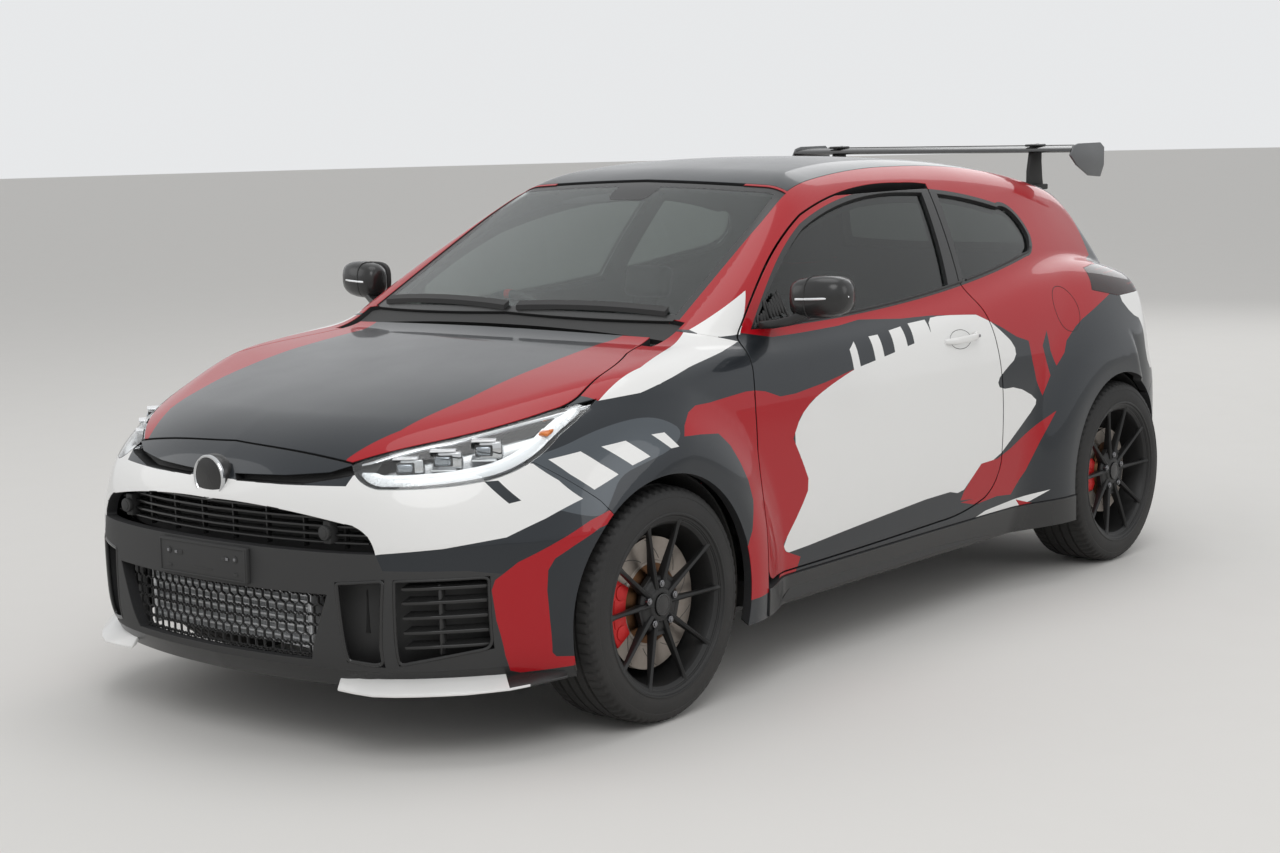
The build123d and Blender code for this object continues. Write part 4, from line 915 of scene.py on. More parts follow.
def link_or_set(tree, inputs, sources):
    for key, value in sources.items():
        if isinstance(value, bpy.types.Node):
            value = value.outputs[0]
        if isinstance(value, bpy.types.NodeSocket):
            tree.links.new(value, inputs[key])
        else:
            inputs[key].default_value = value


def wired(tree, kind, sources=None, **settings):
    """A node with its settings. Its inputs take values, sockets, or nodes for their first output."""
    node = tree.nodes.new("ShaderNode" + kind)
    for key, value in settings.items():
        setattr(node, key, value)
    link_or_set(tree, node.inputs, sources or {})
    return node


def make_grain():
    """Fine uneven surface: outputs roughness and a bumped normal."""
    tree, enter, leave = new_group(
        "Surface Grain", [("Scale", "Float", 200.0), ("Smoothest", "Float", 0.3), ("Roughest", "Float", 0.5),
                          ("Depth", "Float", 0.0002), ("Detail", "Float", 4.0)],
        [("Roughness", "Float"), ("Normal", "Vector")])
    place = wired(tree, "TexCoord").outputs["Object"]
    noise = wired(tree, "TexNoise", {"Vector": place, "Scale": enter["Scale"],
                                     "Detail": enter["Detail"]})
    broad = wired(tree, "TexNoise", {"Vector": place, "Scale": 3.0, "Detail": 3.0})
    both = wired(tree, "Math", {0: noise, 1: broad, 2: 0.12},
                 operation="MULTIPLY_ADD")
    spread = wired(tree, "MapRange", {"Value": both, "From Min": 0.2, "From Max": 0.55,
                                      "To Min": enter["Smoothest"],
                                      "To Max": enter["Roughest"]})
    bump = wired(tree, "Bump", {"Height": noise, "Distance": enter["Depth"],
                                "Strength": 1.0})
    link_or_set(tree, leave, dict(Roughness=spread, Normal=bump))


def make_weave():
    """Woven cloth with crossing threads: outputs colour, roughness and normal."""
    tree, enter, leave = new_group(
        "Seat Weave", [("Thread", "Color", (0.03, 0.03, 0.033, 1)),
                       ("Gap", "Color", (0.008, 0.008, 0.009, 1)), ("Scale", "Float", 520.0),
                       ("Depth", "Float", 0.0006)],
        [("Color", "Color"), ("Roughness", "Float"), ("Normal", "Vector")])
    place = wired(tree, "TexCoord").outputs["Object"]
    waves = [wired(tree, "TexWave", {"Vector": place, "Scale": enter["Scale"], "Distortion": 0.6,
                                     "Detail": 1.0}, bands_direction=way) for way in ("X", "DIAGONAL")]
    both = wired(tree, "Math", {0: waves[0].outputs["Fac"], 1: waves[1].outputs["Fac"]}, operation="MULTIPLY")
    wear = wired(tree, "TexNoise", {"Vector": place, "Scale": 9.0, "Detail": 4.0})
    mix = wired(tree, "Mix", {0: both, 6: enter["Gap"], 7: enter["Thread"]},
                data_type="RGBA")
    rough = wired(tree, "MapRange", {"Value": wear, "To Min": 0.75, "To Max": 1.0})
    bump = wired(tree, "Bump", {"Height": both, "Distance": enter["Depth"], "Strength": 0.8})
    link_or_set(tree, leave, dict(Color=mix.outputs[2], Roughness=rough, Normal=bump))


def make_turning():
    """Fine rings about a wheel's centre: outputs colour, roughness and normal."""
    tree, enter, leave = new_group(
        "Turned Rings", [("Wheel Y", "Float", front_axle_y * MM), ("Steel", "Color", (0.33, 0.3, 0.27, 1)),
                         ("Rust", "Color", (0.12, 0.06, 0.03, 1)), ("Swept Radius", "Float", 0.105)],
        [("Color", "Color"), ("Roughness", "Float"), ("Normal", "Vector")])
    place = wired(tree, "TexCoord").outputs["Object"]
    split = wired(tree, "SeparateXYZ", {"Vector": place})
    away = wired(tree, "Math", {0: split.outputs["Y"], 1: enter["Wheel Y"]}, operation="SUBTRACT")
    rise = wired(tree, "Math", {0: split.outputs["Z"], 1: wheel_z * MM}, operation="SUBTRACT")
    flat_place = wired(tree, "CombineXYZ", {"X": away, "Y": rise, "Z": 0.0})
    radius = wired(tree, "VectorMath", {0: flat_place}, operation="LENGTH")
    rings = wired(tree, "TexNoise", {"W": radius.outputs["Value"], "Scale": 900.0, "Detail": 2.0},
                  noise_dimensions="1D")
    stain = wired(tree, "TexNoise", {"Vector": place, "Scale": 70.0, "Detail": 5.0})
    swept = wired(tree, "Math", {0: radius.outputs["Value"], 1: enter["Swept Radius"]},
                  operation="LESS_THAN")
    old = wired(tree, "Math", {0: stain, 1: 0.25, 2: swept}, operation="MULTIPLY_ADD",
                use_clamp=True)
    mix = wired(tree, "Mix", {0: old, 6: enter["Steel"], 7: enter["Rust"]},
                data_type="RGBA")
    rough = wired(tree, "MapRange", {"Value": rings, "To Min": 0.22, "To Max": 0.55})
    bump = wired(tree, "Bump", {"Height": rings, "Distance": 0.0001, "Strength": 0.7})
    link_or_set(tree, leave, dict(Color=mix.outputs[2], Roughness=rough, Normal=bump))


def make_dust():
    """A thin road film: outputs a colour that greys towards the ground."""
    tree, enter, leave = new_group(
        "Road Film", [("Clean", "Color", (0.5, 0.5, 0.5, 1)), ("Film", "Color", (0.16, 0.14, 0.12, 1)),
                      ("Amount", "Float", 0.3), ("Top", "Float", 0.6)], [("Color", "Color")])
    place = wired(tree, "TexCoord").outputs["Object"]
    split = wired(tree, "SeparateXYZ", {"Vector": place})
    low = wired(tree, "MapRange", {"Value": split.outputs["Z"], "From Min": enter["Top"],
                                   "From Max": 0.15, "To Min": 0.05, "To Max": 1.0})
    patch = wired(tree, "TexNoise", {"Vector": place, "Scale": 14.0, "Detail": 6.0, "Roughness": 0.6})
    both = wired(tree, "Math", {0: low, 1: patch}, operation="MULTIPLY")
    amount = wired(tree, "Math", {0: both, 1: enter["Amount"]}, operation="MULTIPLY",
                   use_clamp=True)
    mix = wired(tree, "Mix", {0: amount, 6: enter["Clean"], 7: enter["Film"]},
                data_type="RGBA")
    link_or_set(tree, leave, dict(Color=mix.outputs[2]))


def grouped(tree, name, values):
    """A shared effect placed in a material with its own values."""
    return wired(tree, "Group", values, node_tree=bpy.data.node_groups[name])


def finish_of(name, colour, grain=None, film=0.0, **sockets):
    """A material: values on the shader's own sockets, grain as (scale, smoothest, roughest, depth)."""
    material = bpy.data.materials.new(name)
    material.use_nodes = True
    tree = material.node_tree
    shader = tree.nodes["Principled BSDF"]
    shader.inputs["Base Color"].default_value = (*colour[:3], 1)
    for key, value in sockets.items():
        shader.inputs[key.replace("_", " ")].default_value = value
    if grain:
        node = grouped(tree, "Surface Grain", dict(zip(("Scale", "Smoothest", "Roughest", "Depth"), grain)))
        link_or_set(tree, shader.inputs, {key: node.outputs[key] for key in ("Roughness", "Normal")})
    if film:
        node = grouped(tree, "Road Film", {"Clean": (*colour[:3], 1), "Amount": film})
        link_or_set(tree, shader.inputs, {"Base Color": node})
    return material


def clear_shadow(material):
    """Glass that lets light through to what lies behind it."""
    tree = material.node_tree
    shader, out = tree.nodes["Principled BSDF"], tree.nodes["Material Output"]
    path = wired(tree, "LightPath")
    open_way = wired(tree, "BsdfTransparent", {"Color": shader.inputs["Base Color"].default_value})
    mix = wired(tree, "MixShader", {0: path.outputs["Is Shadow Ray"], 1: shader, 2: open_way})
    link_or_set(tree, out.inputs, {"Surface": mix})


def length(name, description, default, least):
    return FloatProperty(name=name, description=description, default=default, min=least, unit="LENGTH")


def colour_of(name, description, default):
    return FloatVectorProperty(name=name, description=description, default=default, subtype="COLOR")


class RallyCarSettings(bpy.types.PropertyGroup):
    """Sizes and colours that a user of the car would change."""
    panel_lip: length("Panel Edge", "Rounding along the edge of each body panel", 0.0015, 0.0005)
    tread_depth: length("Tread Depth", "Depth of the grooves in the tyres", 0.0065, 0.001)
    mesh_pitch: length("Mesh Pitch", "Width of one cell of the lower grille", 0.030, 0.015)
    seat_fill: FloatProperty(name="Seat Fill", description="How full the seats' padding is", default=0.7,
                             min=0.1, max=1.0, subtype="FACTOR")
    dark_paint: colour_of("Dark Paint", "Colour of the dark metallic paint", (0.019, 0.023, 0.028))
    white_paint: colour_of("White Paint", "Colour of the white areas", (0.79, 0.79, 0.78))
    red_paint: colour_of("Red Paint", "Colour of the red areas", (0.38, 0.002, 0.008))
    slate_paint: colour_of("Slate Paint", "Colour of the band over the front wheels", (0.070, 0.082, 0.094))
    floor_colour: colour_of("Floor Colour", "Colour of the studio floor", (0.70, 0.69, 0.67))
    glass_tint: colour_of("Glass Tint", "Colour of the windscreen and the side windows", (0.60, 0.66, 0.64))


# Finishes by name: colour or the setting that holds it, grain, road film, and the shader's own values
metallic = {"Coat_Weight": 0.6, "Coat_Roughness": 0.03, "Metallic": 0.45, "Specular_IOR_Level": 0.2}
FINISHES = {
    "paint_dark": ("dark_paint", (900, 0.26, 0.42, 1e-5), 0.08, metallic),
    "paint_slate": ("slate_paint", (900, 0.26, 0.42, 1e-5), 0.1, metallic),
    "paint_white": ("white_paint", (60, 0.3, 0.45, 1e-5), 0.08, {"Coat_Weight": 0.6, "Coat_Roughness": 0.03}),
    "paint_red": ("red_paint", (700, 0.32, 0.48, 1e-5), 0.05,
                  {"Coat_Weight": 0.6, "Coat_Roughness": 0.03, "Specular_IOR_Level": 0.1}),
    "gloss_black": ((0.006, 0.006, 0.007), (40, 0.05, 0.14, 1e-5), 0.04,
                    {"Coat_Weight": 0.6, "Coat_Roughness": 0.02}),
    "trim_black": ((0.012, 0.012, 0.013), (1400, 0.38, 0.58, 6e-5), 0.14, {}),
    # Painted shade: the dark of the panels' walls and inner faces, so that their gaps read dark, and of the
    # rings round the handles' cups and the fuel flap
    "inner_dark": ((0.012, 0.012, 0.013), (300, 0.6, 0.85, 2e-4), 0, {}),
    "liner_felt": ((0.010, 0.010, 0.010), (700, 0.85, 1.0, 8e-4), 0.5, {}),
    "lamp_chrome": ((0.62, 0.63, 0.64), (120, 0.10, 0.22, 1e-5), 0, {"Metallic": 1.0}),
    "lamp_white": ((0.88, 0.90, 0.92), (80, 0.16, 0.3, 1e-5), 0, {"Metallic": 0.25, "Coat_Weight": 1.0}),
    "projector_glass": ((0.30, 0.33, 0.36), (40, 0.02, 0.05, 1e-5), 0, {"Metallic": 0.7, "Coat_Weight": 1.0}),
    "lamp_amber": ((0.75, 0.19, 0.01), (90, 0.1, 0.2, 1e-5), 0, {"Coat_Weight": 1.0}),
    "lamp_red_back": ((0.30, 0.002, 0.004), (160, 0.15, 0.3, 1e-4), 0, {"Coat_Weight": 1.0}),
    "tyre_rubber": ((0.013, 0.013, 0.013), (420, 0.6, 0.85, 2.5e-4), 0.12, {}),
    "wheel_black": ((0.007, 0.007, 0.008), (200, 0.14, 0.24, 2e-5), 0.2,
                    {"Coat_Weight": 0.9, "Coat_Roughness": 0.04}),
    "caliper_red": ((0.50, 0.006, 0.012), (260, 0.22, 0.34, 4e-5), 0.2, {"Coat_Weight": 0.7}),
    "cast_metal": ((0.20, 0.20, 0.20), (380, 0.42, 0.68, 3e-4), 0.6, {"Metallic": 0.85}),
    # The underbody's coating, and also painted shade in the discs' slots and vents
    "underseal": ((0.010, 0.010, 0.011), (240, 0.72, 0.95, 9e-4), 0.5, {}),
    "steel_parts": ((0.018, 0.018, 0.019), (500, 0.38, 0.6, 1e-4), 0.5, {"Metallic": 0.4}),
    "pipe_steel": ((0.42, 0.40, 0.37), (180, 0.18, 0.4, 6e-5), 0.5, {"Metallic": 1.0}),
    "intercooler_alloy": ((0.62, 0.63, 0.64), (300, 0.3, 0.5, 1e-4), 0, {"Metallic": 0.45}),
    "nut_steel": ((0.23, 0.23, 0.24), (300, 0.22, 0.4, 5e-5), 0, {"Metallic": 1.0}),
    "cabin_plastic": ((0.020, 0.020, 0.021), (1100, 0.5, 0.72, 1.2e-4), 0, {}),
    "wheel_leather": ((0.013, 0.013, 0.014), (700, 0.38, 0.55, 1.2e-4), 0, {}),
    "stitch_red": ((0.45, 0.01, 0.015), (500, 0.6, 0.8, 1e-4), 0, {}),
    "screen_glass": ((0.004, 0.005, 0.006), (30, 0.04, 0.1, 1e-5), 0, {"Coat_Weight": 1.0}),
    "wing_grey": ((0.13, 0.135, 0.14), (500, 0.3, 0.48, 5e-5), 0.1, {"Metallic": 0.3}),
}
GLASSES = {"tinted_glass": "glass_tint", "privacy_glass": (0.20, 0.225, 0.215),
           "clear_lens": (0.97, 0.98, 0.98), "red_lens": (0.50, 0.004, 0.008)}


class CAR_OT_finishes(bpy.types.Operator):
    """Makes the materials of the car"""
    bl_idname = "rally_car.finishes"
    bl_label = "Finishes"

    def execute(self, context):
        def chosen(colour):
            return getattr(context.scene.rally_car, colour) if isinstance(colour, str) else colour
        for make in (make_grain, make_weave, make_turning, make_dust):
            make()
        for name, (colour, grain, film, values) in FINISHES.items():
            finish_of(name, chosen(colour), grain, film, **values)
        for name, colour in GLASSES.items():
            clear_shadow(finish_of(name, chosen(colour), Roughness=0.0, IOR=1.45, Transmission_Weight=1.0))
        for name, group, values, sockets in (
                ("seat_cloth", "Seat Weave", {}, {"Sheen_Weight": 0.25}),
                ("disc_front", "Turned Rings", {"Wheel Y": front_axle_y * MM, "Swept Radius": 0.108},
                 {"Metallic": 1.0}),
                ("disc_rear", "Turned Rings", {"Wheel Y": rear_axle_y * MM, "Swept Radius": 0.100},
                 {"Metallic": 1.0})):
            tree = finish_of(name, (0.5, 0.5, 0.5), **sockets).node_tree
            node = grouped(tree, group, values)
            for key, socket in (("Color", "Base Color"), ("Roughness", "Roughness"), ("Normal", "Normal")):
                tree.links.new(node.outputs[key], tree.nodes["Principled BSDF"].inputs[socket])
        return {"FINISHED"}


class CAR_OT_stage(bpy.types.Operator):
    """Sets the floor, the soft lights, the pale background and the camera"""
    bl_idname = "rally_car.stage"
    bl_label = "Studio"

    def execute(self, context):
        s = context.scene.rally_car
        clear()
        bpy.ops.mesh.primitive_circle_add(vertices=96, radius=70, fill_type="NGON")
        floor = context.object
        floor.name = "studio_floor"
        finish_of("floor_paint", s.floor_colour, (6, 0.75, 0.9, 0.0002))
        coated(floor, "floor_paint")
        lamps = [("key_light", (5.0, -6.0, 7.0), (0, -0.2, 0.5), 5.0, 185),
                 ("fill_light", (-7.0, -5.0, 4.6), (0, 0, 0.6), 6.0, 80),
                 ("top_light", (0.0, 0.3, 8.0), (0, 0.2, 0), 6.0, 120),
                 ("side_light", (9.0, 2.4, 3.6), (0, 0.2, 0.6), 5.0, 80),
                 ("back_light", (-2.0, 9.0, 5.2), (0, 0, 0.6), 6.0, 105)]
        for name, place, target, size, power in lamps:
            bpy.ops.object.light_add(type="AREA", location=place)
            lamp = context.object
            lamp.name = name
            lamp.data.shape, lamp.data.size, lamp.data.energy = "DISK", size, power
            lamp.rotation_euler = (Vector(target) - Vector(place)).to_track_quat("-Z", "Y").to_euler()
        world = bpy.data.worlds.new("Studio")
        context.scene.world = world
        world.use_nodes = True
        tree = world.node_tree
        lit = tree.nodes["Background"]
        link_or_set(tree, lit.inputs, {"Color": (1, 1, 1, 1), "Strength": 0.62})
        pale = wired(tree, "Background", {"Color": (0.80, 0.81, 0.82, 1), "Strength": 1.0})
        path = wired(tree, "LightPath")
        either = wired(tree, "Math", {0: path.outputs["Is Camera Ray"],
                                      1: path.outputs["Is Transmission Ray"]}, operation="MAXIMUM")
        glossy = wired(tree, "Math", {0: path.outputs["Is Glossy Ray"], 1: either}, operation="MAXIMUM")
        mix = wired(tree, "MixShader", {0: glossy, 1: lit, 2: pale})
        link_or_set(tree, tree.nodes["World Output"].inputs, {"Surface": mix})
        yaw, pitch, roll = (radians(a) for a in (39.031, 8.013, -1.4196))
        across = Vector((cos(yaw), sin(yaw), 0))
        back = Vector((sin(yaw) * cos(pitch), -cos(yaw) * cos(pitch), sin(pitch)))
        rise = back.cross(across)
        right, up = cos(roll) * across + sin(roll) * rise, -sin(roll) * across + cos(roll) * rise
        bpy.ops.object.camera_add()
        camera = context.object
        camera.name = "photo_camera"
        camera.matrix_world = Matrix.Translation((4.44087, -5.65773, 1.60645)) @ Matrix(
            (right, up, back)).transposed().to_4x4()
        camera.data.sensor_fit, camera.data.sensor_width, camera.data.lens = "HORIZONTAL", 36, 62.396
        camera.data.clip_end = 200
        context.scene.camera = camera
        context.scene.view_settings.view_transform = "Standard"
        return {"FINISHED"}


class CAR_OT_panels(bpy.types.Operator):
    """Makes the painted body panels"""
    bl_idname = "rally_car.panels"
    bl_label = "Body Panels"

    def execute(self, context):
        add_panels("bonnet_panel", "roof_panel", "wing_panel", "bumper_front", "flank_panel", "door_panel",
                   "tailgate_panel", "bumper_rear", "skirt", "duct_back", "intake_back", "slot_back")
        return {"FINISHED"}


class CAR_OT_glass(bpy.types.Operator):
    """Makes the windows and the lamps' lenses"""
    bl_idname = "rally_car.glass"
    bl_label = "Glass"

    def execute(self, context):
        add_panels("door_glass", "quarter_glass", "windscreen", "hatch_pane", "tail_lens", "headlamp_lens",
                   "headlamp_bowl")
        return {"FINISHED"}


def lofted(sections):
    """Carries an outline through sections with as many places each, closed at both ends."""
    piece = loop_of(sections[0])
    for before, after in zip(sections, sections[1:]):
        bpy.ops.mesh.extrude_region_move()
        shape = bmesh.from_edit_mesh(piece.data)
        before = [Vector(p) * MM for p in before]
        for v in [v for v in shape.verts if v.select]:
            index = min(range(len(before)), key=lambda i: (before[i] - v.co).length_squared)
            v.co = Vector(after[index]) * MM
        bmesh.update_edit_mesh(piece.data)
    return closed_up(piece)


def oval(y, z, wide, high, count=16, power=2.0):
    """Places round an oval in the y, z plane; a higher power makes it squarer."""
    out = []
    for k in range(count):
        t = 2 * pi * (k + 0.5) / count
        c, s = cos(t), sin(t)
        out.append((y + wide * abs(c)**(2 / power) * (1 if c > 0 else -1),
                    z + high * abs(s)**(2 / power) * (1 if s > 0 else -1)))
    return out


# Wheels, drawn about their own centre with +X outward
stud_circle, spoke_pairs, tread_blocks = 57.15, 5, 288
wheel_places = (("front", 768.0, front_axle_y), ("rear", 782.5, rear_axle_y))


def place_wheels(piece, name):
    """One piece copied to the four wheels."""
    for axle, x, y in wheel_places:
        for mark, turn in (("l", shifted(x, y, wheel_z)), ("r", shifted(-x, y, wheel_z) @ mirror_x)):
            node = f"{name}_{axle}_{mark}"
            dressed(copied(piece, turn), "wheel_" + node, f"wheel_{axle[0]}{mark}",
                    [node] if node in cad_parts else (), 28)
    bpy.data.objects.remove(piece)


def make_tyre():
    """The tyre's section spun round, with grooves round it and slanted cuts in its shoulders."""
    depth = bpy.context.scene.rally_car.tread_depth / MM
    half = [(0, 318.5), (12, 318.5), (13.5, 318.5 - depth), (20.5, 318.5 - depth), (22, 318.4), (46, 318.0),
            (47.5, 317.9 - depth), (54.5, 317.8 - depth), (56, 317.6), (70, 316.9), (84, 315.2), (95, 311.5),
            (103, 304.5), (107.5, 296), (109.2, 289), (108.4, 287.6), (110.6, 280), (112.3, 268),
            (112.5, 258), (111, 248), (112.2, 246.4), (111.4, 244.8), (107, 237), (102, 231.5), (99, 229.2),
            (93, 229.2), (99, 245), (103, 262), (101, 285), (92, 300), (60, 305), (0, 306)]
    profile = half + [(-x, r) for x, r in reversed(half[1:-1])]
    piece = turned(profile, tread_blocks)
    for v in piece.data.vertices:
        x, y, z = v.co / MM
        r = sqrt(y * y + z * z)
        if 57 < abs(x) < 106 and r > 300:
            turn = atan2(z, y) / (2 * pi) * tread_blocks + (abs(x) - 57) * 0.055
            if round(turn) % 4 == 0:
                lowered = (r - depth * (0.95 if abs(x) < 98 else 0.5)) / r
                v.co.y *= lowered
                v.co.z *= lowered
    place_wheels(coated(piece, "tyre_rubber"), "tyre")


def make_rim():
    """The barrel, and five pairs of spokes joined by short webs at the hub."""
    barrel = turned([(113, 246), (110.5, 247.5), (106, 241), (103, 229), (70, 222), (40, 211), (-60, 207),
                     (-92, 221), (-101, 229), (-104, 240), (-108, 247), (-111, 245), (-107, 233), (-98, 217),
                     (-62, 199), (38, 203), (68, 213), (94, 217), (97, 222.5), (100, 224.5), (101, 231),
                     (106, 232.5), (108, 239.5), (112.2, 241)], 144)
    hub = turned([(58, 28), (58, 72), (64, 77), (72, 76), (76, 70), (77.5, 62), (78, 48), (83, 44), (85, 38),
                  (85, 31), (80, 28)], 80)
    parts = [barrel, hub]
    reach = [(38, 85, 34, 9), (56, 86, 33, 9), (80, 88, 30, 8.2), (120, 92, 25, 7), (165, 97, 20, 6.3),
             (205, 101.5, 16, 6.8), (224, 104, 14, 9.5), (238, 106.5, 12, 15)]
    sections = [[(x, 0, r), (x - 5, -w * 0.78, r), (x - 11, -w, r), (x - d, -w * 0.8, r), (x - d, w * 0.8, r),
                 (x - 11, w, r), (x - 5, w * 0.78, r)] for r, x, d, w in reach]
    blade = lofted(sections)
    for pair in range(spoke_pairs):
        for side in (-1, 1):
            lean = Matrix.Rotation(radians(72 * pair + side * 17), 4, "X") @ shifted(0, side * 2, 0)
            parts.append(copied(blade, lean))
        web = lofted([[(70, -14, 60), (70, 14, 60), (58, 14, 60), (58, -14, 60)],
                      [(76, -22, 84), (76, 22, 84), (60, 22, 84), (60, -22, 84)]])
        parts.append(moved(web, Matrix.Rotation(radians(72 * pair + 36), 4, "X")))
    bpy.data.objects.remove(blade)
    place_wheels(soften(coated(joined(parts), "wheel_black"), 0.9, 1, 40), "rim")


def make_hubs():
    """Wheel nuts on their studs, and plain caps."""
    nuts = []
    for k in range(spoke_pairs):
        turn = 2 * pi * k / spoke_pairs + pi / 2
        y, z = stud_circle * cos(turn), stud_circle * sin(turn)
        nuts.append(drum((77, y, z), 10.5, 22, "x", 1.2, 6))
        nuts.append(drum((79, y, z), 6.5, 24, "x", 1.5, 16))
    place_wheels(coated(joined(nuts), "nut_steel"), "nuts")
    cap = turned([(60, 0.3), (60, 27), (86, 27), (87, 29.5), (88.5, 29.5), (89.5, 27.5), (89.5, 25.5),
                  (88.4, 24), (89.4, 14), (89.8, 0.3)], 64)
    place_wheels(coated(cap, "gloss_black"), "caps")


def make_disc(radius, axle):
    """The disc with its vents and slots, and the bell that carries it. The slots are dark rods on its face
    and the vanes dark blocks: painted shade of the grooves and of the vent between the plates.
    """
    swept = radius - 62
    ring = [(18, swept), (18, radius), (26, radius), (27, radius - 8), (37, radius - 8), (38, radius),
            (46, radius), (46, swept), (47, swept - 1), (47, swept - 6), (57.5, 74), (57.5, 26), (28, 26),
            (28, 74), (36, swept - 10), (36, swept - 4), (20, swept - 4)]
    disc = coated(turned(ring, 128), "disc_" + axle)
    cuts = []
    # Dark rods on the face: painted shade of the slots' grooves
    for k in range(10):
        path = []
        for i in range(9):
            t = i / 8
            r, turn = swept + 6 + (radius - swept - 10) * t, 2 * pi * k / 10 + 0.42 * t
            path.append((46.05, r * cos(turn), r * sin(turn)))
        cuts.append(coated(rod(path, 0.9, sides=1), "underseal"))
    # Near-black vanes: painted shade inside the vent between the plates
    vanes = []
    for k in range(36):
        turn = 2 * pi * k / 36
        vane = block((32, 0, radius - 24), (11, 4, 34))
        vanes.append(coated(moved(vane, Matrix.Rotation(turn, 4, "X")), "underseal"))
    return joined([disc] + cuts + vanes)


def caliper_of(radius, spread, low, high):
    """A fixed caliper ahead of the disc: a bridge, pistons' housings and a plain face."""
    def arc(near, far, angle, count=12):
        turns = [radians(180 - angle + 2 * angle * k / count) for k in range(count + 1)]
        outer = [(far * cos(t), far * sin(t)) for t in turns]
        return outer + [(near * cos(t), near * sin(t)) for t in reversed(turns)]
    parts = [cast(arc(radius - 58, radius + 4, spread), "x", 50, high, 5, 3),
             cast(arc(radius - 58, radius + 4, spread), "x", low, 14, 5, 3),
             cast(arc(radius + 3, radius + 13, spread - 4), "x", low + 4, high - 4, 3, 2),
             cast(arc(radius - 44, radius - 6, spread * 0.42), "x", high - 3, high + 2, 1.5, 2)]
    for turn in (-0.68, 0.68):
        t = radians(180 + spread * turn)
        parts.append(drum((high - 6, (radius - 28) * cos(t), (radius - 28) * sin(t)), 21, 18, "x", 3))
    return coated(joined(parts), "caliper_red")


def make_brakes():
    for axle, x, y, radius, spread, low, high in (("front", 768, front_axle_y, 178, 31, -16, 60),
                                                  ("rear", 782.5, rear_axle_y, 148, 26, 4, 55)):
        disc = make_disc(radius, axle)
        twin = copied(disc, shifted(-x, y, wheel_z) @ mirror_x)
        moved(disc, shifted(x, y, wheel_z))
        for one, mark in ((disc, "l"), (twin, "r")):
            dressed(one, f"brake_disc_{axle}_{mark}", f"wheel_{axle[0]}{mark}",
                    [f"disc_{axle}_{mark}"], 30)
        left = moved(caliper_of(radius, spread, low, high), shifted(x, y, wheel_z))
        right = copied(left, mirror_x)
        if axle == "front":
            dressed(left, "caliper_front_left", "knuckle_l", ["caliper_front_l"], 40)
            dressed(right, "caliper_front_right", "knuckle_r", ["caliper_front_r"], 40)
        else:
            dressed(joined([left, right]), "calipers_rear_pair", "root", ["calipers_rear"], 40)


class CAR_OT_wheels(bpy.types.Operator):
    """Makes the tyres, rims, nuts, discs and calipers"""
    bl_idname = "rally_car.wheels"
    bl_label = "Wheels and Brakes"

    def execute(self, context):
        make_tyre()
        make_rim()
        make_hubs()
        make_brakes()
        return {"FINISHED"}


def shelf(z, half_x, depth, deep, high, edge, tilt):
    """A bar across the nose that follows its sweep, that deep behind its skin."""
    places = [nose_at(x, z, depth)[:2] for x in np.linspace(-half_x, half_x, 13)]
    return soften(lofted([[(x, y, z - high / 2), (x, y, z + high / 2), (x, y + deep, z + high / 2 + tilt),
                           (x, y + deep, z - high / 2 + tilt)] for x, y in places]), edge)


def make_upper_grille():
    """Slats behind the upper intake, with thin uprights and two round parking sensors."""
    parts = []
    for z, half_x in ((562, 505), (582, 500), (602, 480), (622, 440), (640, 330)):
        parts.append(shelf(z, half_x, 34, 26, 5.5, 1.2, 3))
    for x in range(-420, 421, 120):
        middle, high = (592, 94) if abs(x) < 320 else (578, 66)
        parts.append(block((x, nose_at(x, 600, 44)[1] + 8, middle), (4, 16, high), 0.8))
    dressed(coated(joined(parts), "gloss_black"), "upper_slats", "root", ["grilles"], 35)
    for side, mark in ((1, "l"), (-1, "r")):
        x, y, z = nose_at(side * 392, 592, 14)
        ring = drum((x, y, z), 19, 14, "y", 3)
        face = drum((x, y - 6, z), 13, 6, "y", 2)
        foot = block((x, y + 20, z), (26, 30, 60), 4)
        dressed(coated(joined([ring, face, foot]), "trim_black"), "park_sensor_" + mark, "root")


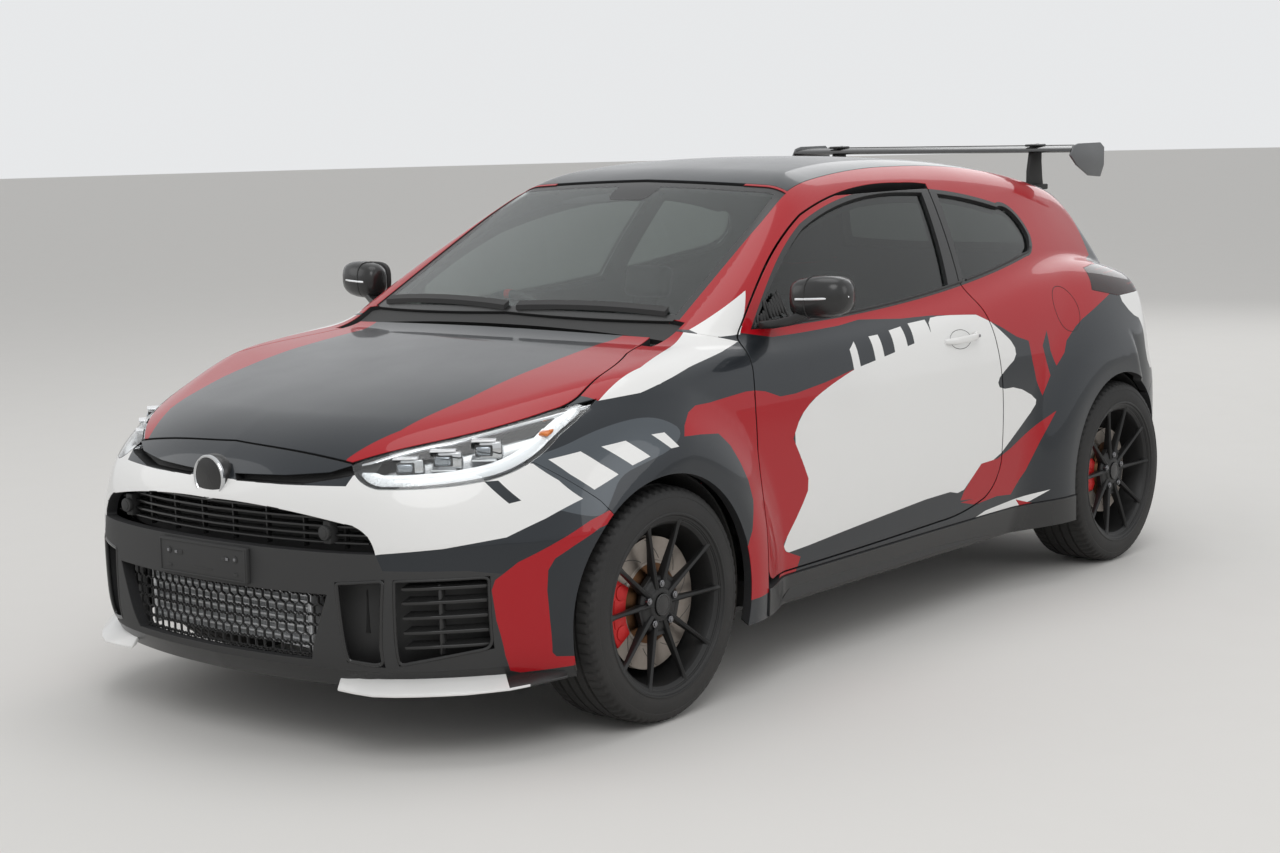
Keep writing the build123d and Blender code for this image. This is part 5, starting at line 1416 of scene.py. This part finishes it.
def make_lower_grille():
    """A mesh of six-sided cells over the lower intake, and the intercooler behind it."""
    pitch = bpy.context.scene.rally_car.mesh_pitch / MM
    outer, inner, deep = pitch / sqrt(3), pitch / sqrt(3) - 1.3, 7.0
    cell = loop_of([(outer * sin(pi * k / 3), 0, outer * cos(pi * k / 3)) for k in range(6)], "NOTHING")
    bpy.ops.mesh.extrude_region_move()
    shape = bmesh.from_edit_mesh(cell.data)
    for v in shape.verts:
        if v.select:
            v.co.x, v.co.z = v.co.x * inner / outer, v.co.z * inner / outer
    bpy.ops.mesh.select_all(action="SELECT")
    bpy.ops.mesh.extrude_region_move(TRANSFORM_OT_translate={"value": (0, deep * MM, 0)})
    closed_up(cell)
    rise = outer * 1.5
    parts = []
    for row in range(int(190 / rise) + 1):
        z = 256 + row * rise
        half = np.interp(z, [262, 437], [340, 405]) + 4
        count = int(2 * half / pitch)
        start = -count * pitch / 2 + (pitch / 2 if row % 2 else 0)
        for k in range(count + 1 - row % 2):
            parts.append(copied(cell, shifted(start + k * pitch, 0, z)))
    bpy.data.objects.remove(cell)
    net = joined(parts)
    places = np.array([tuple(v.co) for v in net.data.vertices]) / MM
    base = meet_skin(*aim("front", np.stack([places[:, 0], np.full(len(places), 350.0)], -1)))[:, 1]
    for v, y in zip(net.data.vertices, base):
        v.co.y += (y + 36) * MM
    coated(net, "trim_black")
    dressed(net, "lower_mesh", "root", (), 30)
    parts = [block((0, -1893, 283 + k * 16.6), (600, 26, 6), 1.2) for k in range(9)]
    parts += [block((-297 + k * 6, -1888, 350), (1.4, 22, 142)) for k in range(100)]
    parts += [block((x, -1886, 350), (16, 46, 152), 3) for x in (-306, 306)]
    parts.append(block((0, -1878, 350), (600, 14, 146)))
    dressed(coated(joined(parts), "intercooler_alloy"), "intercooler_core", "root",
            ["intercooler"], 30)


def make_nose_trim():
    """The plain disc in its ring, the number plate's holder, and the vents' slats and frames."""
    y = nose_at(0, 704)[1]
    base = coated(drum((0, y + 8, 704), 59, 30, "y", 3, 64), "gloss_black")
    facing = Matrix.Rotation(-pi / 2, 4, "Z")
    ring = turned([(0, 50), (3, 52), (3, 56), (0, 58), (-6, 58), (-6, 50)], 72)
    coated(moved(ring, shifted(0, y - 12, 704) @ facing), "lamp_chrome")
    face = turned([(0, 0.2), (0, 51), (2, 49), (5, 30), (6, 0.2)], 72)
    coated(moved(face, shifted(0, y - 11, 704) @ facing), "gloss_black")
    dressed(joined([base, ring, face]), "nose_roundel", "root", (), 30)
    front = -1997.0
    parts = [block((0, front + 12, 492), (340, 16, 92), 4, segments=3),
             block((0, front + 6, 534), (332, 8, 5), 1.5), block((0, front + 6, 450), (332, 8, 5), 1.5)]
    for side in (-1, 1):
        parts += [block((side * 165, front + 6, 492), (5, 8, 84), 1.5),
                  drum((side * 130, front + 5, 506), 9, 8, "y", 1.5, 24),
                  block((side * 88, front + 5, 504), (22, 6, 12), 1.5),
                  block((side * 130, front + 5, 466), (16, 6, 8), 1.5)]
    parts.append(block((0, front + 5, 470), (80, 4, 4), 1))
    holder = coated(joined(parts), "trim_black")
    screws = [drum((side * 130, front + 2, 506), 5, 5, "y", 1.2, 6) for side in (-1, 1)]
    screws += [block((side * 100, front + 2.5, 504), (10, 4, 8), 1) for side in (-1, 1)]
    screws = [coated(piece, "nut_steel") for piece in screws]
    dressed(joined([holder] + screws), "plate_frame", "root", ["plate_holder"], 30)
    parts = []
    for z in (302, 340, 378, 416, 452):
        sections = []
        for x in np.linspace(574, 730, 9):
            px, y, _ = nose_at(x, z, 0)
            sections.append([(px, y + 14, z - 4), (px, y + 12, z + 4), (px, y + 44, z + 15),
                             (px, y + 44, z + 9)])
        parts.append(soften(lofted(sections), 1.5))
    parts.append(block((640, nose_at(640, 370, 26)[1] + 12, 372), (5, 22, 178), 1))
    both_sides(coated(joined(parts), "gloss_black"), "vent_slats", "root")
    hoops = []
    for outline, deep, radius in ((side_duct, 3, 5.5), (side_vent, 2, 4.5)):
        edge = drawn(grown(outline, -deep))[::3]
        hoops.append(rod([tuple(nose_at(a, b, deep)) for a, b in edge], radius, closed=True))
    both_sides(coated(joined(hoops), "gloss_black"), "duct_frames", "root")


def make_splitters():
    """The blades under the nose's corners, white ahead and dark at their ends."""
    sections = []
    for k, u in enumerate(np.linspace(338, 812, 12)):
        top = on_skin("nose", u, 222)
        n = outward(top[None])[0]
        n = np.array([n[0], n[1], 0]) / np.hypot(n[0], n[1])
        reach = 52 * min(1.0, 0.25 + 0.35 * k) * (1 if k < 9 else (0.75, 0.45, 0.2)[k - 9])
        out, root = top + reach * n, top - 12 * n
        rise = 186 + 10 * max(0, k - 6) / 5
        middle = (out + root) / 2
        sections.append([(*out[:2], rise), (*out[:2], rise + 6), (*middle[:2], middle[2] - 12),
                         (*root[:2], 226), (*root[:2], 214), (*middle[:2], 194)])
    blade = soften(lofted(sections), 1.5)
    blade.data.materials.append(bpy.data.materials["paint_white"])
    blade.data.materials.append(bpy.data.materials["gloss_black"])
    for face in blade.data.polygons:
        face.material_index = int(face.center.y > -1.655)
    twin = copied(blade, mirror_x)
    dressed(joined([blade, twin]), "splitter_blades", "root", ["splitters"], 30)


def lamp_strip(path, inset, wide, depth, high, finish):
    """A lit bar along part of the lamp's outline, crowned across its width."""
    middle = np.mean(lamp_points, axis=0)
    sections = []
    places = np.array(path, float)
    for i, q in enumerate(places):
        along = places[min(i + 1, len(places) - 1)] - places[max(i - 1, 0)]
        across = np.array([-along[1], along[0]]) / np.linalg.norm(along)
        if across @ (middle - q) < 0:
            across = -across
        taper = min(1.0, 0.35 + 0.5 * min(i, len(places) - 1 - i))
        a, b = q + inset * across, q + (inset + wide * taper) * across
        rows = [on_skin("lamp", *(a + (b - a) * t), depth - h)
                for t, h in ((0, 0), (0.3, high), (0.7, high), (1, 0))]
        rows += [on_skin("lamp", *(a + (b - a) * t), depth + 6) for t in (1, 0)]
        sections.append([tuple(r) for r in rows])
    return coated(lofted(sections), finish)


def make_headlamps():
    """What shows behind the lens: a bright curved bar, three projectors and their housing."""
    edge = drawn(lamp_points, 0, 22.0)
    skin = np.array([on_skin("lamp", *q) for q in edge])
    lower = [i for i in range(len(edge)) if skin[i, 2] < np.interp(skin[i, 0], [413, 764], [740, 862])]
    run = sorted(lower, key=lambda i: skin[i, 0])
    bar = lamp_strip(edge[run][1:-1], 14, 34, 13, 5, "lamp_white")
    upper = [i for i in range(len(edge)) if i not in lower]
    run = sorted(upper, key=lambda i: skin[i, 0])
    brow = lamp_strip(edge[run][1:-1], 4, 13, 10, 2, "lamp_chrome")
    parts = [bar, brow]
    for x, y, z, wide in ((520, -1757, 741, 60), (588, -1691, 757, 62), (652, -1609, 777, 58)):
        turn = (0, 0, 38)
        parts.append(coated(block((x, y + 26, z), (wide, 62, 44), 6, turn), "lamp_chrome"))
        parts.append(coated(block((x + 3, y - 4, z), (wide - 12, 14, 31), 4, turn), "trim_black"))
        parts.append(coated(block((x + 5, y - 9, z), (wide - 20, 12, 24), 6, turn, 3), "projector_glass"))
        for rise in (25, -25):
            parts.append(coated(block((x - 4, y + 4, z + rise), (wide + 4, 40, 5), 2, turn), "lamp_white"))
    p = on_skin("lamp", *flat("lamp", np.array([[728.0, -1440.0, 815.0]]))[0], 16)
    parts.append(coated(block(tuple(p), (26, 70, 10), 3, (8, 0, 14)), "lamp_amber"))
    both_sides(joined(parts), "headlamp_inside", "root")


class CAR_OT_nose(bpy.types.Operator):
    """Makes the grilles, intercooler, plate holder, splitters and headlamps"""
    bl_idname = "rally_car.nose"
    bl_label = "Nose and Lamps"

    def execute(self, context):
        make_upper_grille()
        make_lower_grille()
        make_nose_trim()
        make_splitters()
        make_headlamps()
        return {"FINISHED"}


def make_mirrors():
    """Door mirrors: housing, glass, light bar and foot."""
    sections = []
    for x, deep, high in ((833, 26, 34), (842, 40, 48), (862, 50, 55), (895, 55, 59), (930, 56, 60),
                          (965, 53, 56), (988, 44, 48), (1000, 30, 34), (1005, 14, 18)):
        y = -484 + (x - 918) * 0.14
        sections.append([(x, a, b) for a, b in oval(y, 1084 + (x - 918) * 0.05, deep, high, 20, 2.7)])
    housing = coated(lofted(sections), "gloss_black")
    glass = cast(oval(922, 1086, 68, 48, 28, 3.2), "y", -432, -426, 1.5)
    coated(moved(glass, Matrix.Translation((0, -0.001, 0))), "lamp_chrome")
    frame_ring = cast(oval(922, 1086, 75, 54, 28, 3.2), "y", -446, -429, 3)
    coated(frame_ring, "trim_black")
    bar = coated(rod([(866, -541, 1080), (920, -541, 1082), (965, -528, 1084), (994, -503, 1086),
                      (1003, -478, 1087)], 3.6), "lamp_white")
    arm = lofted([[(x, y - d, z - h), (x, y - d, z + h), (x, y + d, z + h), (x, y + d, z - h)]
                  for x, y, z, d, h in ((752, -520, 1004, 44, 12), (800, -518, 1008, 40, 12),
                                        (840, -508, 1018, 32, 13), (872, -498, 1034, 28, 14),
                                        (900, -492, 1046, 26, 12))])
    coated(soften(arm, 5), "gloss_black")
    seam = lofted([[(x, a, b) for a, b in oval(-484 + (x - 918) * 0.14, 1084, deep, high, 20, 2.7)]
                   for x, deep, high in ((893, 55.8, 59.8), (896, 56, 59.9))])
    coated(seam, "trim_black")
    both_sides(joined([housing, glass, frame_ring, bar, arm, seam]), "mirror", "door",
               "mirror", 50)


def make_door_details():
    """Handles with their cups, and the fuel flap's line. The dark rings round the cups and the flap are
    painted shade of their edges and gap.
    """
    sections = []
    for y, out, high in ((335, 2, 6), (345, 15, 9), (375, 27, 11), (430, 31, 12), (485, 29, 12),
                         (508, 22, 13), (516, 14, 14), (524, 12, 15), (534, 7, 12), (540, 1, 8)):
        x, _, z = flank_at(y, 876 + (y - 430) * 0.02)
        thick = 9 if 355 < y < 505 else out + 4
        sections.append([(a, y, b) for a, b in oval(x + out - thick / 2, z, thick / 2, high, 12, 2.4)])
    handle = coated(lofted(sections), "paint_white")
    cup = ring_of(0, 0, 1, 32) * (62, 30) + (430, 874)
    # A dark ring round the handle's cup: painted shade of the cup's edge
    cup_line = coated(rod([tuple(flank_at(a, b, 0.2)) for a, b in cup], 0.9, closed=True), "inner_dark")
    lock = coated(drum(tuple(flank_at(524, 874, -14)), 5, 4, "x", 1), "nut_steel")
    both_sides(joined([handle, cup_line, lock]), "door_handle", "door", None, 50)
    # A dark ring for the fuel flap: painted shade of its gap
    flap = ring_of(0, 0, 1, 48) * (74, 76) + (1122, 914)
    ring = coated(rod([tuple(flank_at(a, b, 0.4)) for a, b in flap], 1.2, closed=True), "inner_dark")
    dressed(ring, "fuel_flap_line", "root", (), 60)
    rail = [(float(y), float(z)) for y, z in drawn(grown(window_points, 3))[::2]]
    for mark in ("_l", "_r"):
        for low, high, body in ((-620, 605, "door" + mark), (612, 1250, "root")):
            run = [q for q in rail if low < q[0] < high and q[1] < 1125 and (q[0] > -540 or q[1] < 1040)]
            run.sort()
            belt = coated(rod([tuple(flank_at(a, b, -1)) for a, b in run], 4.0), "trim_black")
            if mark == "_r":
                moved(belt, mirror_x)
            dressed(belt, f"belt_strip_{body}{mark if body == 'root' else ''}", body, (), 60)


def make_rear_wing():
    """The raised blade with its end plates, stems and their caps."""
    upper = [(1562, 1437), (1572, 1445), (1600, 1451), (1650, 1454), (1700, 1454), (1750, 1450), (1790, 1445),
             (1800, 1442)]
    lower = [(1800, 1433), (1750, 1437), (1700, 1440), (1650, 1439), (1600, 1436), (1572, 1432)]
    section = upper + lower
    blade = lofted([[(x, y + sag, z) for y, z in section] for x, sag in
                    ((-606, 4), (-560, 0), (-300, 0), (0, 0), (300, 0), (560, 0), (606, 4))])
    coated(blade, "gloss_black")
    lip = coated(block((0, 1804, 1443), (1200, 5, 24), 1.5), "trim_black")
    parts = [blade, lip]
    for side in (-1, 1):
        plate = cast([(1560, 1422), (1585, 1455), (1620, 1463), (1790, 1463), (1820, 1445), (1818, 1380),
                      (1790, 1338), (1700, 1345), (1610, 1385)], "x", side * 607 - 4, side * 607 + 4, 2, 2)
        parts.append(coated(plate, "wing_grey"))
        stem = cast([(1570, 1295), (1572, 1365), (1588, 1428), (1600, 1460), (1650, 1464), (1668, 1440),
                     (1666, 1400), (1672, 1340), (1682, 1295)], "x", side * 430 - 7, side * 430 + 7, 3, 2)
        parts.append(coated(stem, "trim_black"))
        parts.append(coated(block((side * 430, 1630, 1458), (46, 76, 9), 3), "gloss_black"))
        parts.append(coated(block((side * 430, 1626, 1306), (44, 120, 20), 4), "trim_black"))
        for y in (1606, 1650):
            parts.append(coated(drum((side * 430 + 10, y, 1447), 6, 10, "x", 1, 6), "nut_steel"))
    dressed(joined(parts), "raised_wing", "tailgate", ["rear_wing"], 35)


def make_liners():
    """Felt liners over the wheels, closed towards the middle of the car."""
    for axle, y in (("front", front_axle_y), ("rear", rear_axle_y)):
        turns = [radians(-18 + 216 * k / 36) for k in range(37)]
        outer = [(y + 356 * cos(t), wheel_z + 356 * sin(t)) for t in turns]
        inner = [(y + 351 * cos(t), wheel_z + 351 * sin(t)) for t in reversed(turns)]
        band = cast(outer + inner, "x", 486, 838)
        wall = cast(outer, "x", 478, 486)
        both_sides(coated(joined([band, wall]), "liner_felt"), f"arch_liner_{axle}", "root")


def make_hinges():
    """Lugs and pins of the bonnet and the tailgate."""
    parts = []
    for side in (-1, 1):
        parts += [block((side * 542, -900, 940), (16, 26, 46), 3), drum((side * 530, -900, 928), 6, 40)]
    dressed(coated(joined(parts), "steel_parts"), "bonnet_hinges", "bonnet")
    parts = []
    for side in (-1, 1):
        parts += [block((side * 489, 1474, 1287), (13, 30, 36), 4), drum((side * 506, 1480, 1280), 6, 50)]
    dressed(coated(joined(parts), "steel_parts"), "tailgate_hinges", "tailgate")


def swollen(piece, cap, voxel=8.0):
    """Fills a closed form with air as cloth does, and smooths it."""
    pick(piece)
    grid = piece.modifiers.new("Even Mesh", "REMESH")
    grid.mode, grid.voxel_size = "VOXEL", voxel * MM * 1.0
    bpy.ops.object.modifier_apply(modifier=grid.name)
    scene = bpy.context.scene
    before = np.empty(len(piece.data.vertices) * 3)
    piece.data.vertices.foreach_get("co", before)
    cloth = piece.modifiers.new("Cloth", "CLOTH")
    cloth.settings.use_pressure, cloth.settings.uniform_pressure_force = True, 4.0
    cloth.settings.effector_weights.gravity = 0.0
    cloth.point_cache.frame_start, cloth.point_cache.frame_end = 1, 20
    for step in range(1, 21):
        scene.frame_set(step)
    swelled = piece.evaluated_get(bpy.context.evaluated_depsgraph_get())
    after = np.empty_like(before)
    swelled.data.vertices.foreach_get("co", after)
    piece.modifiers.remove(cloth)
    scene.frame_set(1)
    move = (after - before).reshape(-1, 3)
    far = np.linalg.norm(move, axis=1, keepdims=True)
    move *= np.minimum(1.0, cap * MM / np.maximum(far, 1e-9))
    piece.data.vertices.foreach_set("co", before + move.ravel())
    piece.data.update()
    smooth = piece.modifiers.new("Smooth", "SMOOTH")
    smooth.iterations, smooth.factor = 4, 0.6
    bpy.ops.object.modifier_apply(modifier=smooth.name)
    fine = piece.modifiers.new("Fine", "SUBSURF")
    fine.levels = fine.render_levels = 1
    bpy.ops.object.modifier_apply(modifier=fine.name)
    return piece


def make_front_seats():
    """Two bucket seats: sewn pads on a hard base, swelled as cloth."""
    back_turn = (-16, 0, 0)
    pads = [block((0, -60, 398), (250, 430, 78), 20), block((0, -62, 398), (250, 150, 84), 20)]
    for side in (-1, 1):
        pads.append(block((side * 170, -60, 408), (62, 420, 96), 20, (0, side * 8, 0)))
        pads.append(block((side * 178, 246, 690), (58, 96, 440), 20, (back_turn[0], 0, side * -10)))
    pads.append(block((0, 262, 700), (262, 66, 490), 20, back_turn))
    pads.append(block((0, 345, 1030), (190, 56, 108), 18, back_turn))
    seat_pads = coated(swollen(joined(pads), 16), "seat_cloth")
    base = [block((0, -40, 290), (300, 360, 108), 10), block((0, 282, 690), (380, 26, 470), 10, back_turn),
            drum((0, 140, 430), 34, 440, "x", 6)]
    for side in (-1, 1):
        base.append(rod([(side * 50, 318, 930), (side * 50, 334, 985), (side * 48, 345, 1030)], 6))
    shell = coated(joined(base), "cabin_plastic")
    seams = []
    for side in (-1, 1):
        seams.append(rod([(side * 128, -262, 448), (side * 129, -60, 451), (side * 129, 120, 448)], 1.6))
        seams.append(rod([(side * 133, 176, 480), (side * 134, 214, 640), (side * 134, 260, 800),
                          (side * 132, 290, 900)], 1.6))
    seam = coated(joined(seams), "stitch_red")
    for mark, x in (("l", 370), ("r", -370)):
        at = shifted(x, 0, 0)
        pad = dressed(copied(seat_pads, at), "seat_pads_" + mark, "root",
                      ["front_seats"] if mark == "l" else (), 60)
        dressed(joined([copied(shell, at), copied(seam, at)]), "seat_base_" + mark, "root")
    for piece in (seat_pads, shell, seam):
        bpy.data.objects.remove(piece)


def make_bench():
    """The rear bench for two, with its split back."""
    pads, back_turn = [], (-20, 0, 0)
    for side in (-1, 1):
        pads += [block((side * 268, 765, 448), (470, 350, 100), 25),
                 block((side * 268, 1030, 712), (478, 70, 420), 25, back_turn),
                 block((side * 268, 1122, 918), (220, 50, 50), 16, back_turn)]
    pads.append(block((0, 765, 440), (40, 340, 80), 12))
    bench = coated(swollen(joined(pads), 16), "seat_cloth")
    dressed(bench, "bench_pads", "root", ["rear_bench"], 60)
    base = [block((0, 770, 330), (1000, 340, 110), 8), block((0, 1062, 712), (1040, 20, 440), 6, back_turn)]
    dressed(coated(joined(base), "cabin_plastic"), "bench_base", "root")


column_axis = Vector((0, 0.9, 0.42)).normalized()
wheel_hub = Matrix.Translation((-0.37, -0.3, 0.88))
rim_radius = 178


def make_dashboard():
    """Dashboard with its hood, screen, vents and the column's shroud."""
    sections = []
    for x in (-638, -560, -500, -440, -370, -300, -240, -180, -100, 0, 100, 300, 500, 638):
        hood = 24 * np.exp(-((x + 370) / 105)**4)
        sections.append([(x, -716, 560), (x, -716, 896), (x, -690, 920), (x, -640, 932),
                         (x, -560, 932 + hood * 0.5), (x, -480, 922 + hood), (x, -430, 900 + hood),
                         (x, -408, 872), (x, -404, 840), (x, -422, 760), (x, -500, 700), (x, -536, 620),
                         (x, -540, 560)])
    body = coated(lofted(sections), "cabin_plastic")
    parts = [body, coated(block((0, -398, 912), (230, 16, 112), 6, (-8, 0, 0)), "trim_black"),
             coated(block((0, -390, 912), (214, 4, 98), 1, (-8, 0, 0)), "screen_glass"),
             coated(block((-370, -424, 886), (250, 12, 84), 4, (-14, 0, 0)), "screen_glass")]
    for x in (-580, -130, 130, 560):
        parts.append(coated(block((x, -410, 836), (96, 22, 44), 5), "gloss_black"))
        for z in (824, 836, 848):
            parts.append(coated(block((x, -398, z), (86, 8, 3), 1), "trim_black"))
    shroud = coated(drum((0, 0, -95), 34, 130, "z", 8), "cabin_plastic")
    parts.append(moved(shroud, wheel_hub @ column_axis.to_track_quat("Z", "Y").to_matrix().to_4x4()))
    console = [block((0, -130, 400), (200, 520, 120), 20), block((0, -300, 520), (210, 190, 180), 24)]
    parts.append(coated(joined(console), "cabin_plastic"))
    parts.append(coated(rod([(0, -230, 600), (0, -222, 660), (0, -216, 700)], 8), "nut_steel"))
    parts.append(coated(drum((0, -215, 705), 22, 40, "z", 12), "wheel_leather"))
    dressed(joined(parts), "dashboard_dressed", "root", ["dashboard"], 35)


def make_steering_wheel():
    """Leather rim with a stitched mark at the top, three spokes and a plain boss."""
    ring = rod([(a, b, 0) for a, b in ring_of(0, 0, rim_radius, 32)], 15, True, 6)
    coated(ring, "wheel_leather")
    boss = coated(drum((0, 0, 0), 54, 40, "z", 14, 40), "cabin_plastic")
    parts = [ring, boss]
    for a in (0, pi, -pi / 2):
        spoke = block((108, 0, 0), (140, 34, 12), 4)
        parts.append(coated(moved(spoke, Matrix.Rotation(a, 4, "Z")), "gloss_black"))
    parts.append(coated(drum((0, 0, -100), 16, 180, "z"), "steel_parts"))
    mark = rod([(rim_radius * sin(t), rim_radius * cos(t), 0) for t in (-0.06, 0, 0.06)], 15.6)
    parts.append(coated(mark, "stitch_red"))
    turn = Matrix(((-1, 0, 0), (0, -column_axis.z, column_axis.y), column_axis)).transposed().to_4x4()
    piece = moved(joined(parts), wheel_hub @ turn)
    dressed(piece, "driver_wheel", "steering_wheel", ["steering_wheel"], 35)


def make_tail_details():
    """Light bars behind the tail lamps, the plain plate recess and the pipe ends."""
    parts = []
    for z in (946, 962, 1010, 1024):
        places = meet_skin(*aim("rear", np.stack([np.linspace(560, 800, 20), np.full(20, float(z))], -1)))
        places = places[places[:, 1] > 1440]
        parts.append(coated(rod((places - 12 * outward(places)).tolist(), 3.5), "lamp_red_back"))
    both_sides(joined(parts), "tail_light_bars", "root")
    parts = [block((0, 1986, 740), (540, 8, 150), 3), block((0, 1986, 820), (560, 14, 14), 3)]
    dressed(coated(joined(parts), "gloss_black"), "plate_recess", "tailgate")
    for side, mark in ((1, "l"), (-1, "r")):
        tip = turned([(0, 46), (0, 52.5), (6, 54.5), (10, 52.5), (10, 47), (6, 45.5)], 48)
        moved(tip, shifted(side * pipe_x, 1972, pipe_z) @ Matrix.Rotation(pi / 2, 4, "Z"))
        dressed(coated(tip, "pipe_steel"), "pipe_end_" + mark, "root")


def paint_frame():
    """Materials of the parts that keep their own shape."""
    finishes = {"underbody": "underseal", "front_subframe": "steel_parts", "rear_axle": "steel_parts",
                "knuckle_l": "cast_metal", "knuckle_r": "cast_metal", "engine": "cast_metal",
                "exhaust": "pipe_steel", "cowl": "trim_black", "wipers": "trim_black"}
    for name, finish in finishes.items():
        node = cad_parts[name]
        if not node.data.materials:
            node.data.materials.append(None)
        for slot in node.material_slots:
            slot.material = bpy.data.materials[finish]


class CAR_OT_details(bpy.types.Operator):
    """Makes the mirrors, handles, rear wing, liners, hinges and tail's details"""
    bl_idname = "rally_car.details"
    bl_label = "Details"

    def execute(self, context):
        for make in (make_mirrors, make_door_details, make_rear_wing, make_liners, make_hinges,
                     make_tail_details, paint_frame):
            make()
        return {"FINISHED"}


class CAR_OT_cabin(bpy.types.Operator):
    """Makes the seats, bench, dashboard and steering wheel"""
    bl_idname = "rally_car.cabin"
    bl_label = "Cabin"

    def execute(self, context):
        for make in (make_front_seats, make_bench, make_dashboard, make_steering_wheel):
            make()
        return {"FINISHED"}


OPERATORS = (CAR_OT_finishes, CAR_OT_stage, CAR_OT_panels, CAR_OT_glass, CAR_OT_wheels, CAR_OT_nose,
             CAR_OT_details, CAR_OT_cabin)


class CAR_PT_sidebar(bpy.types.Panel):
    """The car's sizes, colours and pieces"""
    bl_idname = "CAR_PT_sidebar"
    bl_label = "Rally Car"
    bl_space_type = "VIEW_3D"
    bl_region_type = "UI"
    bl_category = "Rally Car"

    def draw(self, context):
        for key in RallyCarSettings.__annotations__:
            self.layout.prop(context.scene.rally_car, key)
        for operator in OPERATORS:
            self.layout.operator(operator.bl_idname)


def register():
    for part in (RallyCarSettings, *OPERATORS, CAR_PT_sidebar):
        bpy.utils.register_class(part)
    bpy.types.Scene.rally_car = PointerProperty(type=RallyCarSettings)


def unregister():
    del bpy.types.Scene.rally_car
    for part in (CAR_PT_sidebar, *reversed(OPERATORS), RallyCarSettings):
        bpy.utils.unregister_class(part)


def main():
    register()
    for operator in OPERATORS:
        getattr(bpy.ops.rally_car, operator.bl_idname.split(".")[1])()


if __name__ == "__main__":
    main()
